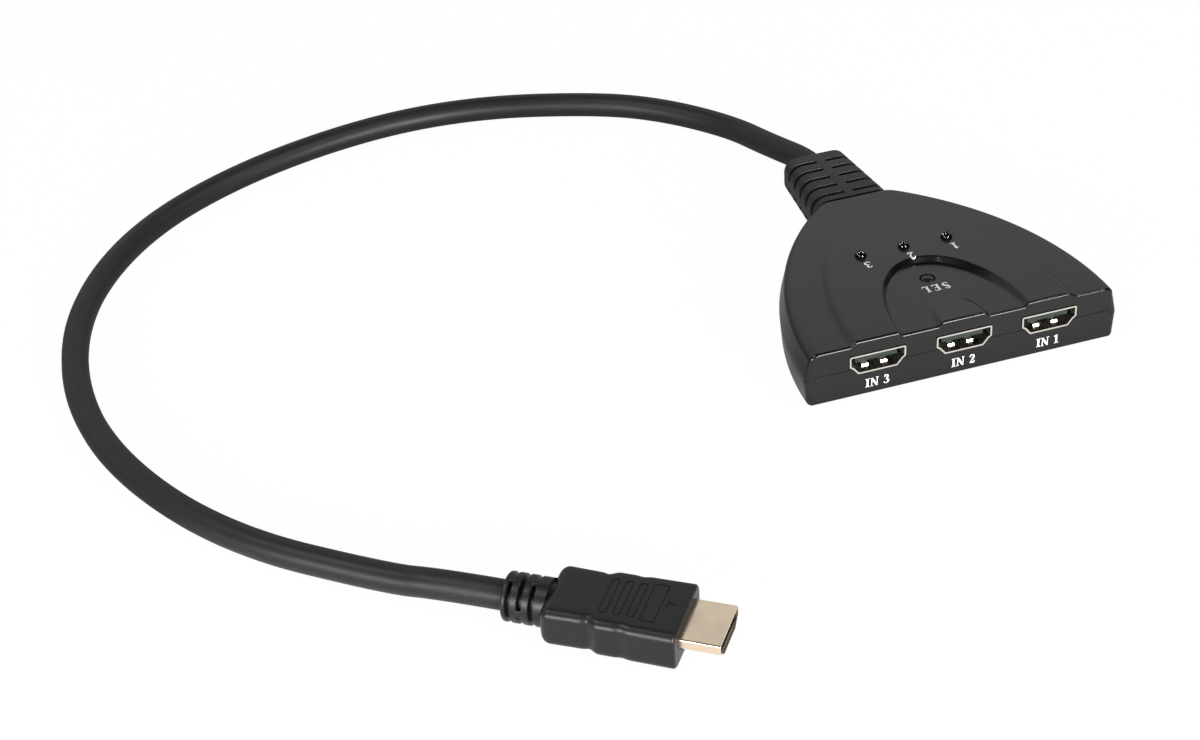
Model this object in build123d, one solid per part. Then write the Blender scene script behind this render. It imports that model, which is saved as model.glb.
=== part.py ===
from build123d import *
import math
import os

# A three-way switch box for video leads: three sockets along its front, a select button and
# three lamps on top, and a short captive lead with a plug. Millimetres throughout.
# X runs along the sockets, Y from the sockets towards the lead, Z up from the underside.

# General clearances and helpers' sizes
overrun = 5.0
level_share = 0.8
fit_gap = 0.1
running_gap = 0.2

# Box outline: a straight front, one arc along each side and a short flat at the back
box_width = 83.8
box_depth = 70.5
rear_width = 20.6
rear_corner_radius = 4.0
parting_height = 7.2
front_parting_height = 8.2
front_parting_width = 79.2
upper_lean_share = 0.2
lower_lean_share = 0.07
foot_radius = 1.2
wall = 1.7
roof = 1.8
floor = 1.8

# Top of the box: a gently crowned rim, a raised arch, a recess inside it and a small ramp
rim_front_height = 14.8
rim_middle_height = 14.75
rim_rear_height = 13.8
rim_middle_share = 0.55
shoulder_radius = 2.6
arch_front_rise = 1.15
arch_middle_rise = 0.95
arch_rear_rise = 0.2
arch_width = 58.6
arch_length = 55.3
arch_step = 1.6
recess_width = 33.4
recess_length = 30.1
recess_step = 1.1
recess_front_depth = 1.05
recess_rear_depth = 1.5
ramp_width = 12.4
ramp_length = 12.6
ramp_step = 1.2
ramp_rise = 1.1

# Sockets
socket_pitch_share = 0.27446
socket_height = 9.33
socket_proud = 0.3
socket_length = 11.8
socket_shell_wall = 0.4
socket_outer_width = 14.8
socket_outer_height = 5.35
socket_side = 3.0
socket_ledge = 0.85
socket_ledge_drop = 0.6
socket_bottom_width = 10.3
socket_corner_radius = 0.45
tongue_width = 11.0
tongue_thickness = 1.25
tongue_drop = 0.95
tongue_setback = 1.3
socket_block_depth = 3.4
spring_width = 1.6
spring_rise = 0.6
spring_length = 4.2
spring_setback = 2.0
spring_offset = 2.5
socket_leg_width = 0.9
socket_leg_reach = 0.7
socket_leg_front = 3.2
socket_leg_rear = 9.4

# Contacts, the same strip in the sockets and the plug
contact_pitch = 1.0
contact_width = 0.32
contact_thickness = 0.2
contact_proud = 0.08
upper_contacts = 10
lower_contacts = 9
contact_tip_setback = 0.15
contact_foot_length = 1.5
contact_row_step = 0.5

# Circuit board
board_thickness = 1.6
board_boss_gap = 2.2
board_wall_gap = 4.2
board_shoulder_depth = 26.0
board_rear_depth = 46.0
board_post_diameter = 4.0
board_pin_diameter = 1.8
board_pin_rise = 0.5
post_edge_distance = 3.5
front_post_depth = 19.0
rear_post_edge_distance = 4.0

# Select button and the tact switch under it
button_depth = 22.0
button_diameter = 3.3
button_hole_diameter = 4.1
button_dome_radius = 4.0
button_flange_diameter = 6.0
button_flange_thickness = 1.0
button_stem_diameter = 2.8
button_travel = 0.25
button_proud = 0.35
button_roof_gap = 0.3
switch_width = 6.2
switch_body_height = 3.4
switch_cover_thickness = 0.3
switch_plunger_diameter = 3.4
switch_plunger_height = 1.0
switch_plunger_depth = 1.2
switch_leg_width = 0.7
switch_leg_reach = 1.1
switch_leg_thickness = 0.3
switch_corner_radius = 0.3

# Lamps
lamp_depth = 36.8
lamp_pitch = 11.95
lamp_diameter = 2.9
lamp_hole_diameter = 3.1
lamp_proud = 1.65
lamp_height = 5.2
lamp_flange_diameter = 3.4
lamp_flange_thickness = 0.8
lead_width = 0.5
lead_spacing = 2.54
lead_below_board = 0.8

# Chips and small components
switch_chip_width = 10.0
switch_chip_thickness = 1.4
switch_chip_standoff = 0.1
switch_chip_lamp_distance = 9.8
switch_chip_legs_per_side = 16
chip_leg_pitch = 0.5
chip_leg_width = 0.22
chip_leg_reach = 1.0
chip_leg_thickness = 0.15
control_chip_width = 3.9
control_chip_length = 4.9
control_chip_thickness = 1.45
control_chip_offset = -15.0
control_chip_depth = 25.0
control_leg_pitch = 1.27
control_leg_width = 0.42
control_legs_per_side = 4
capacitor_length = 1.6
capacitor_width = 0.8
capacitor_thickness = 0.8
capacitor_spacing = 3.0
capacitor_row_depth = 16.5
resistor_length = 1.6
resistor_width = 0.8
resistor_thickness = 0.45
resistor_spacing = 2.4
resistor_lamp_distance = 5.8
resistors_per_row = 6
resistor_row_offset = 14.0

# Screws, from underneath into bosses of the top cover
boss_diameter = 5.0
front_boss_side_distance = 5.2
front_boss_depth = 9.5
rear_boss_spacing = 31.0
rear_boss_depth = 54.0
screw_shank_diameter = 2.0
screw_hole_diameter = 2.3
screw_head_diameter = 4.0
screw_head_thickness = 1.3
screw_head_recess = 0.5
screw_counterbore_diameter = 4.4
screw_length = 9.0
screw_cross_length = 2.4
screw_cross_width = 0.5
screw_cross_depth = 0.7
pilot_diameter = 2.1

# Lead
cable_diameter = 7.0
bore_gap = 0.05
boot_length = 28.1
boot_base_width = 22.0
boot_base_height = 12.5
boot_end_width = 18.2
boot_end_height = 10.9
boot_underside = 0.15
boot_base_corner = 4.2
boot_end_corner = 3.8
boot_end_round = 0.7
boot_height = 6.2
slot_rows = 5
slot_width = 1.4
slot_pitch = 4.95
slot_depth = 1.6
slot_first_setback = 5.2
slot_rib = 2.7
boot_neck_width = 14.0
boot_neck_height = 8.2
boot_neck_corner = 3.4
boot_flange_width = 17.0
boot_flange_height = 8.6
boot_flange_thickness = 1.6
cable_tail_inside = 7.5
wire_diameter = 0.9
wire_count = 9
wire_pad_pitch = 2.1
wire_bundle_radius = 2.1
wire_straight = 3.0
wire_bend_radius = 2.0

# Plug: its own frame has X from the cable towards the tip, Z up, and its origin under the back
# of the overmould
plug_yaw = -35.9
plug_front_place = (-97.65, -72.06)
plug_lift = 0.8
plug_length = 31.0
plug_height = 9.7
plug_front_half = 9.75
plug_crest_half = 9.6
plug_grip_half = 9.45
plug_waist_half = 8.1
plug_neck_half = 8.6
plug_rear_half = 8.85
plug_wave_half = 9.15
plug_rear_corner = 2.8
plug_front_corner = 0.9
plug_edge_radius = 1.8
plug_neck_share = 0.325
plug_waist_share = 0.36
plug_step_share = 0.423
plug_wave_start_share = 0.558
plug_wave_share = 0.603
plug_wave_end_share = 0.661
plug_shell_wall = 0.3
plug_shell_width = 13.9
plug_shell_height = 4.45
plug_shell_side = 2.35
plug_shell_ledge = 0.8
plug_shell_ledge_drop = 0.5
plug_shell_bottom_width = 8.8
plug_shell_corner_radius = 0.4
plug_shell_exposed = 9.3
plug_shell_hidden = 9.0
plug_insulator_setback = 0.35
plug_slot_width = 11.5
plug_slot_height = 1.85
plug_slot_drop = 0.7
plug_slot_length = 8.4
inner_mould_width = 14.6
inner_mould_height = 6.6
inner_mould_length = 11.0
relief_length = 9.9
relief_diameter = 11.3
relief_end_diameter = 11.2
relief_rows = 3
relief_ring_pitch = 2.7
relief_slot_width = 1.05
relief_slot_setback = 1.15
relief_core_diameter = 8.3
relief_neck_diameter = 9.6
relief_neck_length = 1.1
relief_rib = 2.0
bar_length = 11.6
bar_width = 1.9
bar_pitch = 3.15
bar_line = 0.3
bar_depth = 0.25
bar_count = 3
first_bar_share = 0.44
frame_length = 12.4
frame_width = 3.5
frame_share = 0.768
arrow_width = 2.0
arrow_length = 2.0
arrow_share = 0.887

# The lead's free length: points of its route, from the boot's end to the plug, in the frame
# whose origin is under the middle of the front edge. The tube is straight runs and tangent arcs.
cable_route = [
    (0, 98.6, 6.2),
    (0, 103.6, 6.2),
    (-5.6, 117.9, 4.9),
    (-11.7, 135.7, 3.6),
    (-27, 154, 3.5),
    (-44.3, 165.5, 3.5),
    (-77.3, 177.4, 3.5),
    (-111.1, 178.2, 3.5),
    (-151.2, 166.5, 3.5),
    (-184.2, 144.8, 3.5),
    (-205.3, 111.5, 3.5),
    (-211.9, 72.5, 3.5),
    (-205.5, 34.8, 3.5),
    (-185.1, -2.9, 3.5),
    (-153.3, -30.5, 3.5),
]
cable_last_run = 16.0
cable_arc_share = 0.45

# Values that follow from the sizes above
socket_pitch = box_width * socket_pitch_share
socket_places = [socket_pitch, 0, -socket_pitch]
switch_chip_depth = lamp_depth - switch_chip_lamp_distance
resistor_row_depth = lamp_depth - resistor_lamp_distance
socket_front = -socket_proud
socket_back = socket_front + socket_length
board_top = socket_height - socket_outer_height / 2
board_bottom = board_top - board_thickness
board_front = wall + running_gap
front_boss_x = box_width / 2 - front_boss_side_distance
board_front_half = front_boss_x - boss_diameter / 2 - board_boss_gap
boot_end = box_depth + boot_length
object_middle = (socket_front + boot_end) / 2
boot_end_middle = boot_underside + boot_end_height / 2
boot_base_middle = boot_underside + boot_base_height / 2
tongue_top = socket_height + socket_outer_height / 2 - socket_shell_wall - tongue_drop
tongue_bottom = tongue_top - tongue_thickness
block_front = socket_back - socket_block_depth
plug_tip = plug_length + plug_shell_exposed
plug_centre = plug_lift + plug_height / 2
plug_top = plug_lift + plug_height
side_radius = (box_depth**2 + (box_width / 2 - rear_width / 2) ** 2) / (box_width - rear_width)


def rim_height(y):
    """Height of the crowned rim surface, a parabola through its three named heights."""
    middle = box_depth * rim_middle_share
    first = (rim_middle_height - rim_front_height) / middle
    whole = (rim_rear_height - rim_front_height) / box_depth
    bend = (whole - first) / (box_depth - middle)
    return rim_front_height + first * y + bend * y * (y - middle)


def arch_height(y):
    """Height of the raised arch's surface, a parabola whose rise over the rim falls to the back."""
    middle = arch_length * rim_middle_share
    front = rim_front_height + arch_front_rise
    first = (rim_height(middle) + arch_middle_rise - front) / middle
    whole = (rim_height(arch_length) + arch_rear_rise - front) / arch_length
    bend = (whole - first) / (arch_length - middle)
    return front + first * y + bend * y * (y - middle)


def recess_height(y):
    """Height of the recess floor, a straight slope that deepens towards the back."""
    front = arch_height(0) - recess_front_depth
    rear = arch_height(recess_length) - recess_rear_depth
    return front + (rear - front) * y / recess_length


def block(x0, x1, y0, y1, z0, z1):
    """A box between two corners."""
    return Pos((x0 + x1) / 2, (y0 + y1) / 2, (z0 + z1) / 2) * Box(x1 - x0, y1 - y0, z1 - z0)


def pillar(x, y, z0, z1, diameter):
    """An upright cylinder."""
    return Pos(x, y, (z0 + z1) / 2) * Cylinder(diameter / 2, z1 - z0)


def along_y(profile, y0, y1):
    """A sketch drawn in X and Z, carried from y0 to y1."""
    return extrude(Plane.XZ.offset(-y0) * profile, amount=-(y1 - y0))


def along_x(profile, x0, x1):
    """A sketch drawn in Y and Z, carried from x0 to x1."""
    return extrude(Plane.YZ.offset(x0) * profile, amount=x1 - x0)


def both_sides(x, y):
    """The two places that mirror each other across the middle."""
    return [(x, y), (-x, y)]


def side_x(y, inset):
    """Half width of the box outline at y, moved in by the inset."""
    return box_width / 2 - side_radius + math.sqrt((side_radius - inset) ** 2 - y**2)


def outline(inset, front, height):
    """The box outline as a face: moved in by the inset, with its straight front at y = front."""
    rear = box_depth - inset
    ys = [front, (front + rear) / 2, rear]
    right = [(side_x(y, inset), y, height) for y in ys]
    left = [(-x, y, z) for x, y, z in right]
    edges = [
        Line(left[0], right[0]),
        ThreePointArc(right[0], right[1], right[2]),
        Line(right[2], left[2]),
        ThreePointArc(left[2], left[1], left[0]),
    ]
    return Face(Wire(edges))


def leaning_prism(low, high, low_inset, high_inset, front):
    """A solid between two outlines, straight lines from one to the other."""
    solid = loft([outline(low_inset, front, low), outline(high_inset, front, high)], ruled=True)
    upright = [e for e in solid.edges() if abs(e.tangent_at(0.5).Z) > level_share]
    rear = [e for e in upright if e.center().Y > box_depth / 2]
    return fillet(rear, rear_corner_radius)


def crown(height_at, length, lower):
    """Everything under a crowned surface, lowered by a roof thickness."""
    ys = [-overrun, length / 2, box_depth + overrun]
    points = [(y, height_at(y) - lower) for y in ys]
    base = -overrun
    edges = [
        Line((ys[0], base), points[0]),
        ThreePointArc(*points),
        Line(points[2], (ys[2], base)),
        Line((ys[2], base), (ys[0], base)),
    ]
    half = box_width / 2 + overrun
    return along_x(make_face(edges), -half, half)


def arch_face(width, length, height):
    """Half an ellipse that opens to the front and runs past it."""
    half = width / 2
    edges = [
        Line((-half, -overrun, height), (half, -overrun, height)),
        Line((half, -overrun, height), (half, 0, height)),
        Pos(0, 0, height) * EllipticalCenterArc((0, 0), half, length, arc_size=180),
        Line((-half, 0, height), (-half, -overrun, height)),
    ]
    return Face(Wire(edges))


def arch_solid(width, length, step, low, high, lean):
    """A block with an arch outline whose sides lean by the step; lean is 1 inwards, -1 outwards."""
    lower = arch_face(width + step * lean, length + step * lean / 2, low)
    upper = arch_face(width - step * lean, length - step * lean / 2, high)
    return loft([lower, upper], ruled=True)


def under_slope(height_at, length):
    """Everything in front of the slope's end and under a straight slope."""
    points = [
        (-overrun, -overrun),
        (length, -overrun),
        (length, height_at(length)),
        (-overrun, height_at(-overrun)),
    ]
    half = box_width / 2
    return along_x(make_face(Polyline(*points, close=True)), -half, half)


def above_slope(height_at, length):
    """Everything over a straight slope, as far back as the slope's end and a little more."""
    end = length + overrun
    high = rim_front_height + overrun
    points = [(-overrun, height_at(-overrun)), (end, height_at(end)), (end, high), (-overrun, high)]
    half = box_width / 2
    return along_x(make_face(Polyline(*points, close=True)), -half, half)


def d_profile(width, height, side, ledge, drop, bottom, corner):
    """The D shape of the socket and plug shells, wide side up, centred on its own middle."""
    half = width / 2
    top = height / 2
    right = [(half, top), (half, top - side), (half - ledge, top - side - drop), (bottom / 2, -top)]
    left = [(-x, z) for x, z in reversed(right)]
    face = make_face(Polyline(*right, *left, close=True))
    return fillet(face.vertices(), corner)


def socket_outline(growth):
    """The socket shell's outer D, grown by a clearance or shrunk by a wall."""
    shape = d_profile(
        socket_outer_width,
        socket_outer_height,
        socket_side,
        socket_ledge,
        socket_ledge_drop,
        socket_bottom_width,
        socket_corner_radius,
    )
    return offset(shape, growth) if growth else shape


def plug_outline(growth):
    """The plug shell's outer D, grown or shrunk."""
    shape = d_profile(
        plug_shell_width,
        plug_shell_height,
        plug_shell_side,
        plug_shell_ledge,
        plug_shell_ledge_drop,
        plug_shell_bottom_width,
        plug_shell_corner_radius,
    )
    return offset(shape, growth) if growth else shape


def socket_cutters():
    """The D holes that the front walls leave for the three sockets."""
    hole = along_y(Pos(0, socket_height) * socket_outline(fit_gap), -overrun, wall + overrun)
    return [Pos(x, 0, 0) * hole for x in socket_places]


def front_step(growth):
    """The strip of front wall that belongs to the bottom cover above the side parting line."""
    half = front_parting_width / 2 + growth
    return block(-half, half, 0, wall, parting_height, front_parting_height + growth)


def boot_passage(growth):
    """The neck of the boot where it passes through the back wall, and the flange behind it."""
    seat = box_depth - wall
    neck = RectangleRounded(
        boot_neck_width + 2 * growth, boot_neck_height + 2 * growth, boot_neck_corner + growth
    )
    flange = RectangleRounded(
        boot_flange_width + 2 * growth, boot_flange_height + 2 * growth, boot_neck_corner + growth
    )
    passage = along_y(Pos(0, boot_height) * neck, seat, box_depth + growth)
    return passage + along_y(Pos(0, boot_height) * flange, seat - boot_flange_thickness - growth, seat)


def boss_places():
    """Where the four screws stand."""
    front = both_sides(front_boss_x, front_boss_depth)
    return front + both_sides(rear_boss_spacing / 2, rear_boss_depth)


def board_rear_half():
    """Half width of the board's back edge, a gap inside the side walls."""
    return side_x(board_rear_depth, wall) - board_wall_gap


def post_places():
    """Where the board rests on the bottom cover."""
    front = both_sides(board_front_half - post_edge_distance, front_post_depth)
    rear_x = board_rear_half() - post_edge_distance
    return front + both_sides(rear_x, board_rear_depth - rear_post_edge_distance)


def make_top_cover():
    """The upper housing: crowned roof with the raised arch, the recess and the small ramp."""
    high = rim_front_height + overrun
    lean = upper_lean_share * (high - parting_height)
    prism = leaning_prism(parting_height, high, 0, lean, 0)
    shell = prism & crown(rim_height, box_depth, 0)
    roof_face = shell.faces().sort_by(Axis.Z)[-1]
    rim_edges = [e for e in roof_face.edges() if e.center().Y > wall]
    shell = fillet(rim_edges, shoulder_radius)
    low = parting_height + wall
    arch = arch_solid(arch_width, arch_length, arch_step, rim_middle_height, arch_height(0), 1)
    arch_body = arch_solid(arch_width + arch_step, arch_length + arch_step / 2, 0, low, rim_middle_height, 1)
    arch = (arch + arch_body) & crown(arch_height, arch_length, 0)
    front_part = block(-box_width, box_width, 0, box_depth, -overrun, high)
    shell = shell + (arch & front_part)
    recess_low = recess_height(recess_length)
    recess = arch_solid(recess_width, recess_length, recess_step, recess_low, arch_height(0), -1)
    recess_over = arch_solid(
        recess_width + recess_step, recess_length + recess_step / 2, 0, arch_height(0), high, 1
    )
    shell = shell - ((recess + recess_over) & above_slope(recess_height, recess_length))
    ramp_top = recess_height(0) + ramp_rise

    def ramp_height(y):
        return ramp_top + (recess_height(ramp_length) - ramp_top) * y / ramp_length

    ramp = arch_solid(ramp_width, ramp_length, ramp_step, recess_height(ramp_length) - wall, ramp_top, 1)
    shell = shell + (ramp & under_slope(ramp_height, ramp_length + overrun) & front_part)
    cavity_high = high - roof
    cavity = leaning_prism(
        parting_height - overrun, cavity_high, wall, wall + lean * cavity_high / high, wall
    ) & crown(rim_height, box_depth, roof)
    shell = shell - cavity
    ceiling = rim_height(rear_boss_depth) - roof / 2
    for x, y in boss_places():
        boss = pillar(x, y, parting_height, ceiling, boss_diameter)
        shell = shell + boss - pillar(x, y, parting_height - wall, ceiling - wall, pilot_diameter)
    for place in both_sides(lamp_pitch, lamp_depth) + [(0, lamp_depth)]:
        shell = shell - pillar(*place, parting_height, high, lamp_hole_diameter)
    shell = shell - pillar(0, button_depth, parting_height, high, button_hole_diameter)
    shell = shell - front_step(0)
    for hole in socket_cutters():
        shell = shell - hole
    return shell - boot_passage(bore_gap)


def make_bottom_cover():
    """The lower housing: a tray with posts for the board and counterbored screw bosses."""
    lean = lower_lean_share * parting_height
    tray = leaning_prism(0, parting_height, lean, 0, 0)
    under = tray.faces().sort_by(Axis.Z)[0]
    tray = fillet(under.edges(), foot_radius)
    cavity = leaning_prism(floor, parting_height + overrun, wall + lean, wall, wall)
    tray = tray - cavity
    tray = tray + front_step(0)
    for x, y in boss_places():
        tray = tray + pillar(x, y, floor / 2, parting_height, boss_diameter)
        tray = tray - pillar(x, y, -overrun, parting_height + overrun, screw_hole_diameter)
        head_room = screw_head_recess + screw_head_thickness
        tray = tray - pillar(x, y, -overrun, head_room, screw_counterbore_diameter)
    for x, y in post_places():
        tray = tray + pillar(x, y, floor / 2, board_bottom, board_post_diameter)
        tray = tray + pillar(x, y, board_bottom, board_top + board_pin_rise, board_pin_diameter)
    for hole in socket_cutters():
        tray = tray - hole
    return tray - boot_passage(bore_gap)


def make_circuit_board():
    """The board, with holes for posts, shell legs and lamp leads."""
    half = board_front_half
    rear = board_rear_half()
    points = [
        (-half, board_front),
        (half, board_front),
        (half, board_shoulder_depth),
        (rear, board_rear_depth),
        (-rear, board_rear_depth),
        (-half, board_shoulder_depth),
    ]
    board = Pos(0, 0, board_bottom) * extrude(make_face(Polyline(*points, close=True)), board_thickness)
    for x, y in post_places():
        board = board - pillar(x, y, 0, board_top + overrun, board_pin_diameter + running_gap)
    for x in socket_places:
        for leg in socket_legs(fit_gap):
            board = board - Pos(x, 0, 0) * leg
    for lead in lamp_leads(fit_gap):
        board = board - lead
    return board


def socket_legs(growth):
    """The four legs that hold a socket shell in the board."""
    outer = socket_outer_width / 2 + growth
    inner = socket_outer_width / 2 - socket_shell_wall - growth
    top = socket_height + socket_outer_height / 2 - socket_side
    low = board_bottom - socket_leg_reach - growth
    legs = []
    for y in (socket_leg_front, socket_leg_rear):
        y0 = socket_front + y - socket_leg_width / 2 - growth
        y1 = socket_front + y + socket_leg_width / 2 + growth
        legs += [block(inner, outer, y0, y1, low, top), block(-outer, -inner, y0, y1, low, top)]
    return legs


def make_socket_shell():
    """A pressed D tube with four legs and spring fingers pressed in from its floor and roof."""
    centre = Pos(0, socket_height)
    tube = along_y(centre * socket_outline(0), socket_front, socket_back)
    bore = along_y(centre * socket_outline(-socket_shell_wall), socket_front - overrun, socket_back + overrun)
    shell = tube - bore
    for leg in socket_legs(0):
        shell = shell + leg
    low = socket_height - socket_outer_height / 2 + socket_shell_wall / 2
    high = socket_height + socket_outer_height / 2 - socket_shell_wall / 2
    start = socket_front + spring_setback
    peak = start + spring_width / 2
    end = start + spring_length
    for side, level in ((1, low), (-1, high)):
        rise = side * (spring_rise + socket_shell_wall / 2)
        points = [(start, level), (start + spring_rise / 2, level + rise), (peak, level + rise), (end, level)]
        finger = make_face(Polyline(*points, close=True))
        for x in (-spring_offset, spring_offset):
            shell = shell + along_x(finger, x - spring_width / 2, x + spring_width / 2)
    return shell


def strip_places(count):
    """Even places of a contact row about the middle."""
    return [(i - (count - 1) / 2) * contact_pitch for i in range(count)]


def strip_profile(front, level, leg, foot_end):
    """Side view of one contact: along the tongue, down behind the block and back along the board."""
    t = contact_thickness
    points = [
        (front, level),
        (leg, level),
        (leg, board_top + t),
        (foot_end, board_top + t),
        (foot_end, board_top),
        (leg - t, board_top),
        (leg - t, level - t),
        (front, level - t),
    ]
    return make_face(Polyline(*points, close=True))


def make_socket_contacts():
    """Nineteen strips in two rows, each a separate solid."""
    front = socket_front + tongue_setback + contact_tip_setback
    upper_level = tongue_top + contact_proud
    lower_level = tongue_bottom - contact_proud + contact_thickness
    foot_end = socket_back + contact_foot_length
    upper_leg = socket_back + 2 * contact_row_step
    lower_leg = socket_back + contact_row_step
    rows = ((upper_contacts, upper_level, upper_leg), (lower_contacts, lower_level, lower_leg))
    strips = []
    for count, level, leg in rows:
        shape = strip_profile(front, level, leg, foot_end)
        strips += [
            along_x(shape, x - contact_width / 2, x + contact_width / 2) for x in strip_places(count)
        ]
    return strips


def make_socket_insulator(strips):
    """The moulded block at the back of a socket with the tongue that carries the contacts."""
    inner = Pos(0, socket_height) * socket_outline(-socket_shell_wall - bore_gap)
    body = along_y(inner, block_front, socket_back)
    half = tongue_width / 2
    tongue = block(-half, half, socket_front + tongue_setback, block_front, tongue_bottom, tongue_top)
    body = body + tongue
    for strip in strips:
        body = body - strip
    return body


def switch_plunger_top():
    """Height of the tact switch's plunger at rest."""
    return board_top + switch_body_height + switch_cover_thickness + switch_plunger_height


def make_select_button():
    """A small domed cap with a flange under the roof and a stem down to the switch."""
    cap_top = recess_height(button_depth) + button_proud
    flange_top = rim_height(button_depth) - roof - button_roof_gap
    flange_low = flange_top - button_flange_thickness
    cap = pillar(0, button_depth, flange_top - button_proud, cap_top, button_diameter)
    dome = Pos(0, button_depth, cap_top - button_dome_radius) * Sphere(button_dome_radius)
    cap = cap & dome
    flange = pillar(0, button_depth, flange_low, flange_top, button_flange_diameter)
    stem_low = switch_plunger_top() + bore_gap
    stem = pillar(0, button_depth, stem_low, flange_low + bore_gap, button_stem_diameter)
    return cap + flange + stem


def make_tact_switch_housing():
    """The moulded base of the tact switch, with four legs on the board."""
    half = switch_width / 2
    top = board_top + switch_body_height
    base = block(-half, half, button_depth - half, button_depth + half, board_top, top)
    base = fillet(base.edges().filter_by(Axis.Z), switch_corner_radius)
    well_low = top - switch_plunger_depth - button_travel - running_gap
    base = base - pillar(0, button_depth, well_low, top + overrun, switch_plunger_diameter + running_gap)
    return base


def make_tact_switch_legs():
    """Four flat legs beside the switch, each against the housing and on the board."""
    half = switch_width / 2
    legs = []
    for x in (-1, 1):
        for y in (-1, 1):
            x0, x1 = sorted((x * half, x * (half + switch_leg_reach)))
            middle = button_depth + y * half / 2
            y0, y1 = middle - switch_leg_width / 2, middle + switch_leg_width / 2
            legs.append(block(x0, x1, y0, y1, board_top, board_top + switch_leg_thickness))
    return legs


def make_tact_switch_cover():
    """The thin metal plate over the housing, with a hole for the plunger."""
    half = switch_width / 2
    low = board_top + switch_body_height
    high = low + switch_cover_thickness
    plate = block(-half, half, button_depth - half, button_depth + half, low, high)
    hole = pillar(0, button_depth, low - overrun, high + overrun, switch_plunger_diameter + running_gap)
    return plate - hole


def make_tact_switch_plunger():
    """The round plunger that the button's stem presses."""
    low = board_top + switch_body_height - switch_plunger_depth
    return pillar(0, button_depth, low, switch_plunger_top(), switch_plunger_diameter)


def lamp_top():
    """Height of a lamp's dome."""
    return arch_height(lamp_depth) + lamp_proud


def make_lamp(x):
    """A clear domed lamp whose rim stands on its leads under the roof."""
    radius = lamp_diameter / 2
    low = lamp_top() - lamp_height
    body = pillar(x, lamp_depth, low, lamp_top() - radius, lamp_diameter)
    dome = Pos(x, lamp_depth, lamp_top() - radius) * Sphere(radius)
    flange = pillar(x, lamp_depth, low, low + lamp_flange_thickness, lamp_flange_diameter)
    return body + dome + flange


def lamp_leads(growth):
    """Two square leads under each lamp, through the board."""
    half = lead_width / 2 + growth
    low = board_bottom - lead_below_board - growth
    high = lamp_top() - lamp_height
    leads = []
    for lamp in (lamp_pitch, 0, -lamp_pitch):
        for x in (lamp - lead_spacing / 2, lamp + lead_spacing / 2):
            leads.append(block(x - half, x + half, lamp_depth - half, lamp_depth + half, low, high))
    return leads


def chip_leg(width, reach, height, root):
    """One gull-wing leg, drawn outwards along X from the chip's side down to the board at z = 0."""
    t = chip_leg_thickness
    bend = reach / 2
    points = [
        (0, height + t),
        (bend, height + t),
        (bend + t, t),
        (reach, t),
        (reach, 0),
        (bend, 0),
        (bend - t, height),
        (0, height),
    ]
    leg = extrude(Plane.XZ.offset(width / 2) * make_face(Polyline(*points, close=True)), amount=-width)
    return Pos(root, 0, 0) * leg


def make_switch_chip():
    """The switching chip, face down under the board."""
    half = switch_chip_width / 2
    high = board_bottom - switch_chip_standoff
    low = high - switch_chip_thickness
    return block(-half, half, switch_chip_depth - half, switch_chip_depth + half, low, high)


def make_switch_chip_legs():
    """The chip's legs on its four sides, up to the board's underside."""
    height = switch_chip_standoff + switch_chip_thickness / 2
    leg = chip_leg(chip_leg_width, chip_leg_reach, height, switch_chip_width / 2)
    seat = Pos(0, switch_chip_depth, board_bottom) * Rot(180, 0, 0)
    legs = []
    for quarter in range(4):
        for i in range(switch_chip_legs_per_side):
            y = (i - (switch_chip_legs_per_side - 1) / 2) * chip_leg_pitch
            legs.append(seat * Rot(0, 0, 90 * quarter) * Pos(0, y, 0) * leg)
    return legs


def make_control_chip():
    """The small controller beside the tact switch."""
    x, y = control_chip_offset, control_chip_depth
    half_x, half_y = control_chip_width / 2, control_chip_length / 2
    low = board_top + switch_chip_standoff
    return block(x - half_x, x + half_x, y - half_y, y + half_y, low, low + control_chip_thickness)


def make_control_chip_legs():
    """Four legs on each long side of the controller."""
    height = switch_chip_standoff + control_chip_thickness / 2
    leg = chip_leg(control_leg_width, chip_leg_reach, height, control_chip_width / 2)
    seat = Pos(control_chip_offset, control_chip_depth, board_top)
    legs = []
    for turn in (0, 180):
        for i in range(control_legs_per_side):
            y = (i - (control_legs_per_side - 1) / 2) * control_leg_pitch
            legs.append(seat * Rot(0, 0, turn) * Pos(0, y, 0) * leg)
    return legs


def make_chip_capacitors():
    """A pair of ceramic capacitors behind each socket."""
    pieces = []
    for socket in socket_places:
        for x in (socket - capacitor_spacing / 2, socket + capacitor_spacing / 2):
            y = capacitor_row_depth
            pieces.append(
                block(
                    x - capacitor_length / 2,
                    x + capacitor_length / 2,
                    y - capacitor_width / 2,
                    y + capacitor_width / 2,
                    board_top,
                    board_top + capacitor_thickness,
                )
            )
    return pieces


def make_chip_resistors():
    """Two short rows of resistors beside the tact switch."""
    pieces = []
    for side in (-1, 1):
        for i in range(resistors_per_row):
            x = side * resistor_row_offset + (i - (resistors_per_row - 1) / 2) * resistor_spacing
            y = resistor_row_depth
            pieces.append(
                block(
                    x - resistor_width / 2,
                    x + resistor_width / 2,
                    y - resistor_length / 2,
                    y + resistor_length / 2,
                    board_top,
                    board_top + resistor_thickness,
                )
            )
    return pieces


def make_housing_screws():
    """Four cross-head screws from underneath."""
    screws = []
    for x, y in boss_places():
        head_top = screw_head_recess + screw_head_thickness
        head = pillar(x, y, screw_head_recess, head_top, screw_head_diameter)
        shank = pillar(x, y, head_top, screw_head_recess + screw_length, screw_shank_diameter)
        screw = head + shank
        long, short = screw_cross_length / 2, screw_cross_width / 2
        cross_top = screw_head_recess + screw_cross_depth
        for a, b in ((long, short), (short, long)):
            screw = screw - block(x - a, x + a, y - b, y + b, screw_head_recess - overrun, cross_top)
        screws.append(screw)
    return screws


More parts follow.
